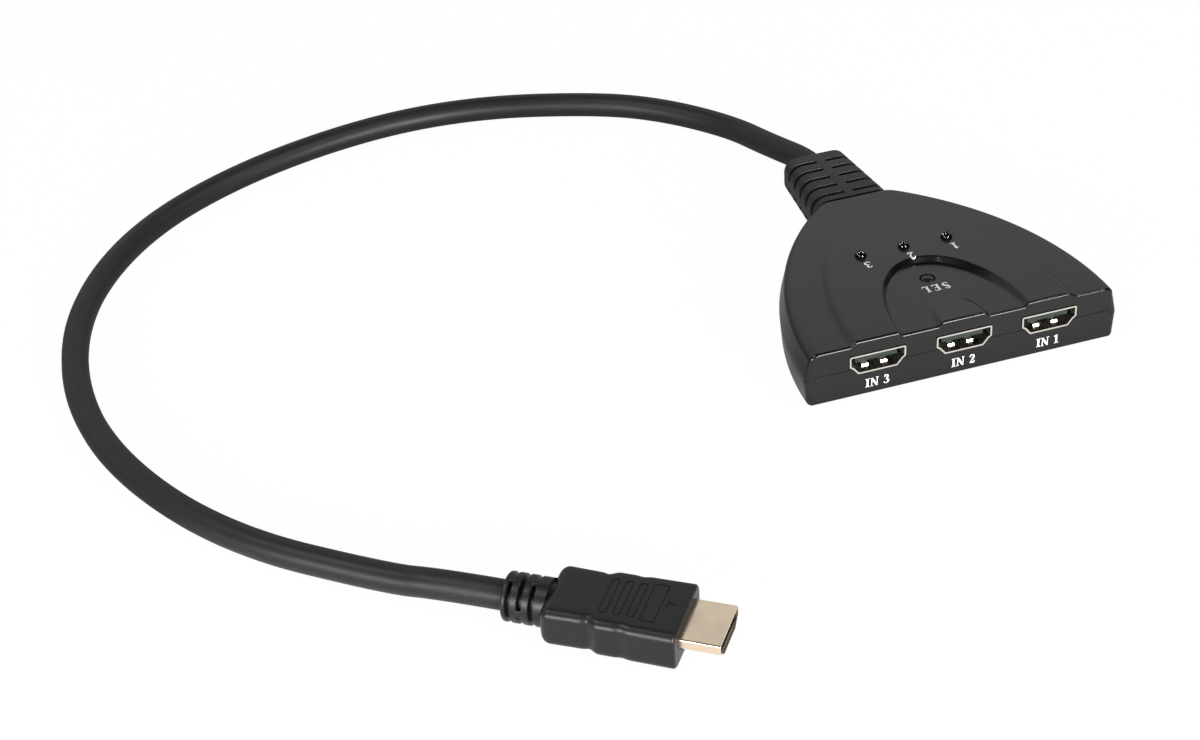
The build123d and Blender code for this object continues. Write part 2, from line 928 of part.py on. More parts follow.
def boot_loft(inset):
    """The boot's outer body between its base and its end, moved in by an inset."""
    base = RectangleRounded(
        boot_base_width - 2 * inset, boot_base_height - 2 * inset, boot_base_corner - inset
    )
    end = RectangleRounded(boot_end_width - 2 * inset, boot_end_height - 2 * inset, boot_end_corner - inset)
    base = Plane.XZ.offset(-box_depth) * Pos(0, boot_base_middle) * base
    end = Plane.XZ.offset(-boot_end) * Pos(0, boot_end_middle) * end
    return loft([base, end], ruled=True)


def make_cable_boot():
    """The moulded strain relief: five rows of corner slots, a neck and a flange in the housing."""
    body = boot_loft(0)
    body = fillet(body.faces().sort_by(Axis.Y)[-1].edges(), boot_end_round)
    keep = boot_loft(slot_depth)
    wide = boot_base_width
    low, high = boot_height - wide, boot_height + wide
    rib = slot_rib / 2
    keep = keep + block(-rib, rib, box_depth, boot_end, low, high)
    keep = keep + block(-wide, wide, box_depth, boot_end, boot_end_middle - rib, boot_end_middle + rib)
    for i in range(slot_rows):
        y = boot_end - slot_first_setback - i * slot_pitch
        plate = block(-wide, wide, y - slot_width / 2, y + slot_width / 2, low, high)
        body = body - (plate - keep)
    body = body + boot_passage(0)
    bore = Pos(0, boot_height) * Circle(cable_diameter / 2 + bore_gap)
    return body - along_y(bore, box_depth - wall - overrun, boot_end + overrun)


def make_cable_tail():
    """The jacket inside the boot, up to where its wires part."""
    jacket = Pos(0, boot_height) * Circle(cable_diameter / 2)
    return along_y(jacket, box_depth - cable_tail_inside, boot_end)


def make_cable_wires():
    """The wires from the end of the jacket to their pads at the back of the board."""
    start_y = box_depth - cable_tail_inside
    pad_z = board_top + wire_diameter / 2
    end_y = board_rear_depth - wire_straight
    wires = []
    for i in range(wire_count):
        pad_x = (i - (wire_count - 1) / 2) * wire_pad_pitch
        turn = 360 * i / (wire_count - 1)
        reach = wire_bundle_radius if i < wire_count - 1 else 0
        x = reach * math.sin(math.radians(turn))
        z = boot_height + reach * math.cos(math.radians(turn))
        if i == wire_count - 1:
            turn = 0
        points = [
            (x, start_y, z),
            (x, start_y - wire_straight, z),
            (pad_x, end_y + 2 * wire_straight, pad_z),
            (pad_x, end_y, pad_z),
        ]
        path = FilletPolyline(*points, radius=wire_bend_radius)
        ring = Plane(origin=path @ 0, z_dir=path % 0) * Circle(wire_diameter / 2)
        wires.append(sweep(ring, path=path))
    return wires


def plug_frame():
    """Where the plug lies: the back of its overmould, turned by its yaw."""
    turn = math.radians(plug_yaw)
    x, y = plug_front_place
    back = (x - plug_length * math.cos(turn), y - plug_length * math.sin(turn), 0)
    return Location(back, (0, 0, plug_yaw))


def plug_profile(sketch, start, end):
    """A sketch across the plug, carried along it from start to end."""
    return extrude(Plane.YZ.offset(start) * Pos(0, plug_centre) * sketch, amount=end - start)


def plug_plan():
    """The overmould seen from above: a waisted back, a step, a shallow wave and a square front."""
    half = [
        (0, plug_rear_half),
        (plug_length * plug_neck_share, plug_neck_half),
        (plug_length * plug_waist_share, plug_waist_half),
        (plug_length * plug_step_share, plug_grip_half),
        (plug_length * plug_wave_start_share, plug_grip_half),
        (plug_length * plug_wave_share, plug_wave_half),
        (plug_length * plug_wave_end_share, plug_crest_half),
        (plug_length, plug_front_half),
    ]
    back = [(x, -y) for x, y in reversed(half)]
    face = make_face(Polyline(*half, *back, close=True))
    rear = [v for v in face.vertices() if v.X < plug_front_corner]
    face = fillet(rear, plug_rear_corner)
    front = [v for v in face.vertices() if v.X > plug_length - plug_front_corner]
    return fillet(front, plug_front_corner)


def make_plug_overmould():
    """The plug's grip with its raised bars and slotted strain relief, one moulding."""
    body = Pos(0, 0, plug_lift) * extrude(plug_plan(), plug_height)
    rims = [f for f in body.faces() if abs(f.normal_at().Z) > level_share]
    body = fillet([e for f in rims for e in f.edges()], plug_edge_radius)
    for i in range(bar_count):
        u = plug_length * first_bar_share + i * bar_pitch
        line = SlotOverall(bar_length, bar_width, 90) - SlotOverall(
            bar_length - 2 * bar_line, bar_width - 2 * bar_line, 90
        )
        body = body - Pos(u, 0, plug_top - bar_depth) * extrude(line, bar_depth + overrun)
    outer = Rectangle(frame_width, frame_length)
    inner = Rectangle(frame_width - 2 * bar_line, frame_length - 2 * bar_line)
    seat = Pos(plug_length * frame_share, 0, plug_top - bar_depth)
    frame = seat * extrude(outer - inner, bar_depth + overrun)
    tip = arrow_length / 2
    arrow = make_face(Polyline((tip, 0), (-tip, arrow_width / 2), (-tip, -arrow_width / 2), close=True))
    arrow = Pos(plug_length * arrow_share, 0, plug_top - bar_depth) * extrude(arrow, bar_depth + overrun)
    body = body - frame - arrow
    inner_end = plug_tip - plug_shell_exposed - plug_shell_hidden
    body = body - plug_profile(plug_outline(bore_gap), inner_end, plug_length + overrun)
    body = body + make_relief()
    body = body - make_inner_mould()
    return body - plug_profile(Circle(cable_diameter / 2 + bore_gap), -relief_length - overrun, inner_end)


def make_relief():
    """A tapered tube with pairs of slots, each ring turned a quarter from the one before it."""
    tube = loft(
        [
            Plane.YZ.offset(-relief_length) * Pos(0, plug_centre) * Circle(relief_end_diameter / 2),
            Plane.YZ.offset(-relief_neck_length) * Pos(0, plug_centre) * Circle(relief_diameter / 2),
        ]
    )
    tube = tube + plug_profile(Circle(relief_neck_diameter / 2), -relief_length / 2, plug_rear_corner)
    core = plug_profile(Circle(relief_core_diameter / 2), -relief_length, plug_rear_corner)
    wide = relief_diameter
    for i in range(relief_rows):
        u = -relief_length + relief_slot_setback + i * relief_ring_pitch
        plate = plug_profile(Rectangle(wide, wide), u, u + relief_slot_width)
        flat = Rectangle(2 * wide, relief_rib) if i % 2 else Rectangle(relief_rib, 2 * wide)
        tube = tube - (plate - core - plug_profile(flat, u - overrun, u + overrun))
    return tube


def make_inner_mould():
    """The hard inner moulding that holds the wires behind the plug's shell."""
    end = plug_tip - plug_shell_exposed - plug_shell_hidden
    shape = RectangleRounded(inner_mould_width, inner_mould_height, plug_edge_radius)
    return plug_profile(shape, end - inner_mould_length, end)


def make_plug_tail():
    """The end of the jacket inside the plug's strain relief."""
    end = plug_tip - plug_shell_exposed - plug_shell_hidden - inner_mould_length
    return plug_profile(Circle(cable_diameter / 2), -relief_length, end)


def make_plug_shell():
    """The plug's plated D tube."""
    start = plug_tip - plug_shell_exposed - plug_shell_hidden
    tube = plug_profile(plug_outline(0), start, plug_tip)
    return tube - plug_profile(plug_outline(-plug_shell_wall), start - overrun, plug_tip + overrun)


def plug_slot_levels():
    """The top and bottom of the slot that takes a socket's tongue, from the plug's middle."""
    top = plug_shell_height / 2 - plug_shell_wall - plug_slot_drop
    return top, top - plug_slot_height


def make_plug_contacts():
    """Nineteen strips along the roof and floor of the plug's slot."""
    top, low = plug_slot_levels()
    tip = plug_tip - plug_insulator_setback - contact_tip_setback
    start = plug_tip - plug_shell_exposed - plug_shell_hidden + contact_tip_setback
    strips = []
    rows = (
        (upper_contacts, top - contact_proud, top - contact_proud + contact_thickness),
        (lower_contacts, low + contact_proud - contact_thickness, low + contact_proud),
    )
    for count, z0, z1 in rows:
        for y in strip_places(count):
            y0, y1 = y - contact_width / 2, y + contact_width / 2
            strips.append(Pos(0, 0, plug_centre) * block(start, tip, y0, y1, z0, z1))
    return strips


def make_plug_insulator(strips):
    """The moulded core of the plug with the slot for a socket's tongue."""
    start = plug_tip - plug_shell_exposed - plug_shell_hidden
    end = plug_tip - plug_insulator_setback
    body = plug_profile(plug_outline(-plug_shell_wall - bore_gap), start, end)
    top, low = plug_slot_levels()
    half = plug_slot_width / 2
    slot = block(end - plug_slot_length, end + overrun, -half, half, low, top)
    body = body - Pos(0, 0, plug_centre) * slot
    for strip in strips:
        body = body - strip
    return body


def cable_points():
    """The route with its last run added, straight into the plug's strain relief."""
    frame = plug_frame()
    end = (frame * Pos(-relief_length, 0, plug_centre)).position
    before = (frame * Pos(-relief_length - cable_last_run, 0, plug_centre)).position
    return [Vector(*p) for p in cable_route] + [before, end]


def make_cable():
    """The free length: a round tube along straight runs joined by the largest tangent arcs."""
    points = cable_points()
    runs = [b - a for a, b in zip(points, points[1:])]
    radii = []
    for before, after in zip(runs, runs[1:]):
        half_turn = math.radians(before.get_angle(after)) / 2
        radii.append(cable_arc_share * min(before.length, after.length) / math.tan(half_turn))
    print("cable arc radii:", [round(r, 1) for r in radii])
    path = FilletPolyline(*points, radius=radii)
    print("cable length:", round(path.length, 1))
    ring = Plane(origin=path @ 0, z_dir=path % 0) * Circle(cable_diameter / 2)
    tube = sweep(ring, path=path)
    section = math.pi * cable_diameter**2 / 4
    print("cable volume against section times length:", round(tube.volume / (section * path.length), 4))
    return tube


def save(name, shape):
    """Write one node, moved so that the object's middle is the origin."""
    pieces = shape if isinstance(shape, list) else [shape]
    solids = [solid for piece in pieces for solid in piece.solids()]
    moved = [Pos(0, -object_middle, 0) * solid for solid in solids]
    export_step(Compound(children=moved) if len(moved) > 1 else moved[0], f"parts/{name}.step")


os.makedirs("parts", exist_ok=True)
save("top_cover", make_top_cover())
save("bottom_cover", make_bottom_cover())
save("circuit_board", make_circuit_board())
shell = make_socket_shell()
contacts = make_socket_contacts()
insulator = make_socket_insulator(contacts)
for number, place in enumerate(socket_places, start=1):
    seat = Pos(place, 0, 0)
    save(f"port_{number}_shell", seat * shell)
    save(f"port_{number}_insulator", seat * insulator)
    save(f"port_{number}_contacts", [seat * strip for strip in contacts])
save("select_button", make_select_button())
save("tact_switch_housing", make_tact_switch_housing())
save("tact_switch_legs", make_tact_switch_legs())
save("tact_switch_cover", make_tact_switch_cover())
save("tact_switch_plunger", make_tact_switch_plunger())
for number, place in enumerate((lamp_pitch, 0, -lamp_pitch), start=1):
    save(f"led_{number}", make_lamp(place))
save("led_leads", lamp_leads(0))
save("switch_chip", make_switch_chip())
save("switch_chip_legs", make_switch_chip_legs())
save("control_chip", make_control_chip())
save("control_chip_legs", make_control_chip_legs())
save("chip_capacitors", make_chip_capacitors())
save("chip_resistors", make_chip_resistors())
save("housing_screws", make_housing_screws())
save("cable_boot", make_cable_boot())
save("cable_tail", make_cable_tail())
save("cable_wires", make_cable_wires())
save("cable", make_cable())
place = plug_frame()
plug_strips = make_plug_contacts()
save("plug_overmould", place * make_plug_overmould())
save("plug_inner_mould", place * make_inner_mould())
save("plug_cable_tail", place * make_plug_tail())
save("plug_shell", place * make_plug_shell())
save("plug_insulator", place * make_plug_insulator(plug_strips))
save("plug_contacts", [place * strip for strip in plug_strips])
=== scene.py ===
import math

import bmesh
import bpy
import numpy as np
from mathutils import Matrix, Vector


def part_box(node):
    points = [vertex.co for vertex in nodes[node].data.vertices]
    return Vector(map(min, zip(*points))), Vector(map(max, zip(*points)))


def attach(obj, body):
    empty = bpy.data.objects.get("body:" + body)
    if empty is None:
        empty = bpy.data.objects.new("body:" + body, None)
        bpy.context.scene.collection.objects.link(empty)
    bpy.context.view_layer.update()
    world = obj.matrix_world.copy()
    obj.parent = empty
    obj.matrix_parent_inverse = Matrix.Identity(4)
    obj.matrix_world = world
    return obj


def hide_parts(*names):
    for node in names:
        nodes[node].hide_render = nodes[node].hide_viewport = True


# A three-way switch box for video leads with its captive lead and plug, dressed over the frame.
# Shapes are worked out in millimetres with Y from the sockets' face, and put into the frame's
# metres when their mesh is made.

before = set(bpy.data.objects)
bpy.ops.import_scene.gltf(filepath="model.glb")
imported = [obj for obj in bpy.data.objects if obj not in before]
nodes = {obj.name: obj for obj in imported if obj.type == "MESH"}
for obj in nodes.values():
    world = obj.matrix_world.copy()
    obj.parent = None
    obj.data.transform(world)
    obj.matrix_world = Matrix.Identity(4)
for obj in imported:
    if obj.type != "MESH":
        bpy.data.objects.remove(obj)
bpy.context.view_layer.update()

MM = 0.001
SMOOTH_ANGLE = 32.0
FRONT_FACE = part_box("top_cover")[0].y / MM
ORIGIN = np.array([0.0, FRONT_FACE, 0.0])

# The photograph's camera, in millimetres and degrees, aimed from the same front face
IMAGE_WIDTH = 1200
FOCAL_PIXELS = 2297.9
SENSOR_WIDTH = 36.0
CAMERA_AZIMUTH = -15.315
CAMERA_ELEVATION = 34.499
CAMERA_ROLL = -3.991
CAMERA_TARGET = (-83.727, 34.904, 0.0)
CAMERA_DISTANCE = 581.009

# Box outline and heights
BOX_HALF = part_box("bottom_cover")[1].x / MM
BOX_DEPTH = (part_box("bottom_cover")[1].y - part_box("bottom_cover")[0].y) / MM
REAR_HALF = 10.3
SIDE_RADIUS = (BOX_DEPTH**2 + (BOX_HALF - REAR_HALF) ** 2) / (2 * (BOX_HALF - REAR_HALF))
REAR_BLEND = 2.3
PARTING = 7.2
FRONT_PARTING = 8.2
FRONT_PARTING_HALF = 39.6
SEAM_GAP = 0.08
SEAM_CHAMFER = 0.08
WALL = 1.7
ROOF = 1.8
FLOOR = 1.8
TOP_EDGE_RADIUS = 0.62
SIDE_EDGE_RADIUS = 1.35
FOOT_EDGE_RADIUS = 0.5
EDGE_FADE = 6.0
RIM_HEIGHTS = (14.8, 14.75, 13.8)
RIM_MIDDLE_SHARE = 0.55
CREASE_INSET = 1.1
SHOULDER_WIDTH = 2.9
SHOULDER_DROP = 2.4
FOOT_INSET = 0.5
FOOT_RADIUS = 1.3
SHOULDER_TURNS = (8, 16, 25, 34, 43, 52, 61, 70, 79, 88)
FOOT_TURNS = (12, 24, 36, 48, 60, 72, 84)
INNER_CORNER = 1.5
NECK_HALF = 7.1
NECK_HEIGHTS = (2.0, 10.4)
NECK_CORNER = 3.4
STRIP_ROOM = WALL + 0.3

# Raised arch, recess and ramp on the top
ARCH_HALF = 29.3
ARCH_LENGTH = 55.3
ARCH_RUN = 1.6
ARCH_RISES = (1.15, 0.95, 0.2)
RECESS_HALF = 16.85
RECESS_LENGTH = 30.1
RECESS_RUN = 1.0
RECESS_DROPS = (1.05, 1.5)
RAMP_HALF = 6.2
RAMP_LENGTH = 12.6
RAMP_RUN = 1.2
RAMP_RISE = 1.1
STEP_ROUNDING = 0.16
EDGE_ROUNDING = 0.06

# Lamps and button
LAMP_DEPTH = 36.8
LAMP_PITCH = 11.95
LAMP_HOLE = 3.2
LAMP_PROUD = 1.65
LAMP_RADIUS = 1.5
LAMP_RIM = 1.7
LAMP_LENGTH = 5.2
BUTTON_DEPTH = 22.0
BUTTON_HOLE = 4.1
BUTTON_PROUD = 0.35
DOME_RADIUS = 4.0
CAP_RADIUS = 1.65
FLANGE_RADIUS = 3.0
STEM_RADIUS = 1.4

# Screws underneath
BOSS_FRONT_X = BOX_HALF - 5.2
BOSS_FRONT_Y = 9.5
BOSS_REAR_X = 15.5
BOSS_REAR_Y = 54.0
SCREW_COUNTERBORE = 4.4

# Sockets and the plug's shell, by the right corners of their outlines
SOCKET_PITCH = 23.0
SOCKET_HEIGHT = 9.33
SOCKET_CORNERS = ((7.4, 2.675), (7.4, -0.325), (6.55, -0.925), (5.15, -2.675))
PLUG_CORNERS = ((6.95, 2.225), (6.95, -0.125), (6.15, -0.625), (4.8, -2.225))
SHELL_GROWTH = ((1, 1), (1, -0.4), (1, -0.7), (0.8, -1))
SHELL_CLEARANCE = 0.12
SHELL_CORNER = 0.3

# Lead, whose length is in metres and whose route is the points of the solid's runs
LEAD_DIAMETER = 7.0
LAST_RUN = 16.0
CORD_ROUTE = (
    (0, 98.6, 6.2), (0, 103.6, 6.2), (-5.6, 117.9, 4.9), (-11.7, 135.7, 3.6), (-27, 154, 3.5),
    (-44.3, 165.5, 3.5), (-77.3, 177.4, 3.5), (-111.1, 178.2, 3.5), (-151.2, 166.5, 3.5),
    (-184.2, 144.8, 3.5), (-205.3, 111.5, 3.5), (-211.9, 72.5, 3.5), (-205.5, 34.8, 3.5),
    (-185.1, -2.9, 3.5), (-153.3, -30.5, 3.5),
)

# Strain relief boot
BOOT_LENGTH = 28.1
BOOT_END = BOX_DEPTH + BOOT_LENGTH
BOOT_AXIS = 6.2
BOOT_UNDERSIDE = 0.15
BOOT_BASE = (11.0, 6.25, 4.2)
BOOT_TIP = (9.1, 5.45, 3.8)
BOOT_ROUND = 0.7
BOOT_RIB = 2.7
BOOT_LIP = 0.3
SLOT_ROWS = 5
SLOT_WIDTH = 1.4
SLOT_PITCH = 4.95
SLOT_DEPTH = 1.6
SLOT_FIRST = 5.2

# Plug
PLUG_YAW = -35.9
PLUG_FRONT = (-97.65, -72.06)
PLUG_LENGTH = 31.0
PLUG_HEIGHT = 9.7
PLUG_TOP = 10.5
PLUG_AXIS_HEIGHT = 5.65
GRIP_CORNER = 2.1
GRIP_REAR = 2.4
GRIP_FRONT = 0.7
GRIP_SHARES = (0, 0.325, 0.36, 0.423, 0.558, 0.603, 0.661, 1.0)
GRIP_HALVES = (8.85, 8.6, 8.1, 9.45, 9.45, 9.15, 9.6, 9.75)
GRIP_BLUR = 0.42
LINE_DEPTH = 0.16
LINE_WIDTH = 0.3
BAR_SIZE = (11.6, 1.9)
BAR_FIRST = 0.44
BAR_PITCH = 3.15
FRAME_PLACE = 0.768
ARROW_PLACE = 0.887
RELIEF_LENGTH = 9.9
RELIEF_RADIUS = 5.62
RELIEF_ROUND = 0.6
RELIEF_FIRST = 1.15
RELIEF_SLOT = 1.05
RELIEF_PITCH = 2.7
RELIEF_RIB = 2.0
RELIEF_DEPTH = 1.5
RELIEF_LIP = 0.22

# Printed marks
INK_PROUD = 0.03
INK_SUNK = 0.05

# Studio: ranges by their ends before and after, and lamps by direction, width, depth and power
WALL_EDGE = (0.1, 0.5, 0.06, 0.72)
WALL_TONES = (-0.1, 0.7, 0.25, 0.8)
WALL_BLUR = 0.09
ROOM_DARK = 0.02
SURROUND_LEVEL = 0.45
CAMERA_GLOW = 0.97
FLOOR_REACH = 6.0
# The floor's glow in reflections, by Y: white in front of the sockets, dimmed behind them as painted shade
FLOOR_GLOSS_PAINTED_SHADE = (-0.06, -0.03, 0.95, 0.3)
BOX_AIM = (-0.04, 0.0, 0.01)
BOX_DISTANCE = 1.1
SOFT_BOXES = (
    ("left_box", (-0.53, 0.01, 0.85), 0.2, 0.2, 2.2),
    ("right_box", (0.55, -0.24, 0.8), 0.2, 0.2, 2.2),
    ("front_strip", (0.2, -0.96, 0.18), 0.6, 0.5, 20.0),
    ("plug_strip", (-0.78, -0.58, 0.22), 0.6, 0.24, 9.0),
    ("front_lamp", (-0.52, -0.63, 0.57), 0.06, 0.06, 0.14),
)


def put(points):
    """Points in millimetres from the front face, as the frame's metres."""
    return (np.asarray(points, float) + ORIGIN) * MM


def quads(rows, columns, close_rows=False, close_columns=False):
    """Quads between neighbouring rows and columns of a grid of points, wrapped round where closed."""
    r = np.arange(rows if close_rows else rows - 1)[:, None]
    c = np.arange(columns if close_columns else columns - 1)[None, :]
    r_next, c_next = (r + 1) % rows, (c + 1) % columns
    corners = [r * columns + c, r * columns + c_next, r_next * columns + c_next, r_next * columns + c]
    return np.stack(np.broadcast_arrays(*corners), -1).reshape(-1, 4).tolist()


def new_object(name, data):
    """A new object in the scene."""
    item = bpy.data.objects.new(name, data)
    bpy.context.scene.collection.objects.link(item)
    return item


def make_piece(name, vertices, faces, material=None, slot=None, body="root", smooth_angle=SMOOTH_ANGLE):
    """A mesh piece from vertices in millimetres: doubles merged, normals out, edges sharper than
    the angle marked sharp, riding on its body."""
    mesh = bpy.data.meshes.new(name)
    mesh.from_pydata(put(vertices).tolist(), [], faces)
    work = bmesh.new()
    work.from_mesh(mesh)
    bmesh.ops.remove_doubles(work, verts=work.verts, dist=0.002 * MM)
    bmesh.ops.dissolve_degenerate(work, edges=work.edges, dist=0.001 * MM)
    bmesh.ops.recalc_face_normals(work, faces=work.faces)
    work.to_mesh(mesh)
    work.free()
    piece = new_object(name, mesh)
    mark_sharp(mesh, smooth_angle)
    if material:
        mesh.materials.append(material)
    if body:
        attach(piece, body)
    return piece


def mark_sharp(mesh, angle):
    """All faces smooth, with the edges that turn by more than the angle marked sharp."""
    work = bmesh.new()
    work.from_mesh(mesh)
    limit = math.radians(angle)
    for face in work.faces:
        face.smooth = True
    for edge in work.edges:
        edge.smooth = edge.is_manifold and edge.calc_face_angle(0.0) < limit
    work.to_mesh(mesh)
    work.free()


def combine(piece, shapes, operation="DIFFERENCE"):
    """Takes the volume of closed shapes that don't touch out of a piece, or adds it, for good."""
    cutter = make_piece("cutter", *gather(shapes), body=None)
    cut = piece.modifiers.new("cut", "BOOLEAN")
    cut.operation = operation
    cut.solver = "EXACT"
    cut.object = cutter
    graph = bpy.context.evaluated_depsgraph_get()
    result = bpy.data.meshes.new_from_object(piece.evaluated_get(graph))
    piece.modifiers.remove(cut)
    piece.data = result
    bpy.data.objects.remove(cutter)
    mark_sharp(result, SMOOTH_ANGLE)


def weighted(piece):
    """Shading normals weighted by face area, so that flat faces stay flat beside small rounds."""
    modifier = piece.modifiers.new("weighted normals", "WEIGHTED_NORMAL")
    modifier.keep_sharp = True
    modifier.weight = 100


def parabola(y, ends, middle_share, length):
    """A parabola along Y through three heights: at 0, at the middle share and at the length."""
    start, middle, end = ends
    at = length * middle_share
    first = (middle - start) / at
    bend = ((end - start) / length - first) / (length - at)
    return start + first * y + bend * y * (y - at)


def rim_height(y):
    """Height of the crowned rim at a depth."""
    return parabola(y, RIM_HEIGHTS, RIM_MIDDLE_SHARE, BOX_DEPTH)


def arch_height(y):
    """Height of the raised arch's surface, whose rise over the rim dies away to the back."""
    places = (0.0, ARCH_LENGTH * RIM_MIDDLE_SHARE, ARCH_LENGTH)
    ends = [rim_height(place) + rise for place, rise in zip(places, ARCH_RISES)]
    return parabola(y, ends, RIM_MIDDLE_SHARE, ARCH_LENGTH)


def recess_height(y):
    """Height of the recess floor, a straight slope."""
    front = arch_height(0.0) - RECESS_DROPS[0]
    rear = arch_height(RECESS_LENGTH) - RECESS_DROPS[1]
    return front + (rear - front) * y / RECESS_LENGTH


def ramp_height(y):
    """Height of the small ramp, which falls to the recess floor at its end."""
    front = recess_height(0.0) + RAMP_RISE
    return front + (recess_height(RAMP_LENGTH) - front) * y / RAMP_LENGTH


# Steps of the top: half width, length, run, rounding, and the height outside it
STEPS = (
    (RAMP_HALF, RAMP_LENGTH, RAMP_RUN, EDGE_ROUNDING, recess_height),
    (RECESS_HALF, RECESS_LENGTH, RECESS_RUN, EDGE_ROUNDING, arch_height),
    (ARCH_HALF, ARCH_LENGTH, ARCH_RUN, STEP_ROUNDING, rim_height),
)


def ellipse_reach(angle, half, length):
    """How far an ellipse round the middle of the front edge lies along each ray, and the cosine
    between the ray and the ellipse's normal."""
    c, s = np.cos(angle), np.sin(angle)
    reach = 1 / np.sqrt((c / half) ** 2 + (s / length) ** 2)
    nx, ny = c / half**2, s / length**2
    return reach, (nx * c + ny * s) / np.hypot(nx, ny)


def outline_reach(angle, inset):
    """How far the box outline, moved in by the inset, lies along each ray: the nearer of the side's
    arc and the flat back, with a smooth minimum between them for the rounded rear corner."""
    c, s = np.abs(np.cos(angle)), np.sin(angle)
    centre = BOX_HALF - SIDE_RADIUS
    side = c * centre + np.sqrt((SIDE_RADIUS - inset) ** 2 - (centre * s) ** 2)
    back = (BOX_DEPTH - inset) / np.maximum(s, 1e-3)
    h = np.maximum(REAR_BLEND - np.abs(side - back), 0) / REAR_BLEND
    return np.minimum(side, back) - REAR_BLEND / 6 * h**3


def step_share(offset, run, k):
    """0 inside a step and 1 outside it: a straight slope over the run with ends rounded by k."""
    h = run / 2
    return 0.5 + (np.sqrt((offset + h) ** 2 + k**2) - np.sqrt((offset - h) ** 2 + k**2)) / (4 * h)


def top_height(angle, reach):
    """Height of the top surface at a reach along each ray: ramp, recess, arch and rim, blended by
    the rounded steps between them."""
    y = reach * np.sin(angle)
    z = np.maximum(ramp_height(y), recess_height(y))
    for half, length, run, rounding, outer_height in STEPS:
        edge, cosine = ellipse_reach(angle, half, length)
        share = step_share((reach - edge) * cosine, run, rounding)
        z = z + (outer_height(y) - z) * share
    return z


def spread_angles(count):
    """Ray angles from the right front corner round the back to the left, closer at the corners."""
    even = np.linspace(0, math.pi, count)
    corner = math.atan2(BOX_DEPTH, REAR_HALF)
    extra = np.concatenate([np.linspace(-0.05, 0.05, 21) + a for a in (corner, math.pi - corner)])
    near = np.array([0.004, 0.009, 0.015])
    return np.unique(np.round(np.concatenate([even, extra, near, math.pi - near]), 6))


def top_stations(angle):
    """Reach and height of the top cover's outer surface along each ray, from the middle out over
    the steps, the shoulder and the leaning wall down to the parting line."""
    rows = [np.zeros_like(angle)]
    last = np.zeros_like(angle)
    dense = np.array([-2.6, -1.6, -1.2, -1.0, -0.8, -0.6, -0.4, 0, 0.4, 0.6, 0.8, 1.0, 1.2, 1.6, 2.6]) / 2
    for half, length, run, _, _ in STEPS:
        edge, cosine = ellipse_reach(angle, half, length)
        first = edge + dense[0] * run / cosine
        rows += [last + (first - last) * share for share in (0.25, 0.5, 0.75)]
        rows += [edge + offset * run / cosine for offset in dense]
        last = rows[-1]
    shoulder = outline_reach(angle, CREASE_INSET + SHOULDER_WIDTH)
    rows += [last + (shoulder - last) * share for share in (0.25, 0.5, 0.75, 1.0)]
    heights = [top_height(angle, reach) for reach in rows]
    top = rim_height(shoulder * np.sin(angle))
    for turn in np.radians(SHOULDER_TURNS):
        rows.append(outline_reach(angle, CREASE_INSET + SHOULDER_WIDTH * (1 - math.sin(turn))))
        heights.append(top - SHOULDER_DROP * (1 - math.cos(turn)))
    crease = top - SHOULDER_DROP
    low = PARTING + SEAM_GAP
    for share in (0.0, 0.25, 0.5, 0.75, 0.95):
        rows.append(outline_reach(angle, CREASE_INSET * (1 - share)))
        heights.append(crease + (low + SEAM_CHAMFER - crease) * share / 0.95)
    rows.append(outline_reach(angle, SEAM_CHAMFER))
    heights.append(np.full_like(angle, low))
    return np.array(rows), np.array(heights)


def bottom_stations(angle):
    """Reach and height of the bottom cover's outer surface along each ray: flat underside, rounded
    foot and leaning wall up to the parting line."""
    flat = FOOT_INSET + FOOT_RADIUS
    rows = [outline_reach(angle, flat) * share for share in (0.0, 0.3, 0.6, 0.85, 1.0)]
    heights = [np.zeros_like(angle)] * len(rows)
    for turn in np.radians(FOOT_TURNS):
        rows.append(outline_reach(angle, flat - FOOT_RADIUS * math.sin(turn)))
        heights.append(np.full_like(angle, FOOT_RADIUS * (1 - math.cos(turn))))
    for share in (0.0, 0.3, 0.6, 0.9):
        rows.append(outline_reach(angle, FOOT_INSET * (1 - share)))
        wall = (PARTING - SEAM_CHAMFER - FOOT_RADIUS) * share / 0.9
        heights.append(np.full_like(angle, FOOT_RADIUS + wall))
    rows.append(outline_reach(angle, SEAM_CHAMFER))
    heights.append(np.full_like(angle, PARTING))
    return np.array(rows), np.array(heights)


def inner_stations(angle, crown, rim):
    """Reach and height of a cover's inside: its ceiling or floor, a rounded corner and the wall."""
    inset = WALL + CREASE_INSET
    rows = [outline_reach(angle, inset + INNER_CORNER) * share for share in (0.0, 0.35, 0.7, 1.0)]
    heights = [crown(reach * np.sin(angle)) for reach in rows]
    last = heights[-1]
    for share in (0.5, 1.0):
        rows.append(outline_reach(angle, WALL + (CREASE_INSET + INNER_CORNER) * (1 - share) ** 2))
        heights.append(last + (rim - last) * share)
    return np.array(rows), np.array(heights)


def strip(first, second):
    """Quads between two lines of vertex indices."""
    return np.stack([first[:-1], first[1:], second[1:], second[:-1]], -1).tolist()


def front_line(rows):
    """A fan's rows along the front, from the right rim by the middle to the left rim."""
    return np.concatenate([rows[::-1, 0], rows[1:, -1]])


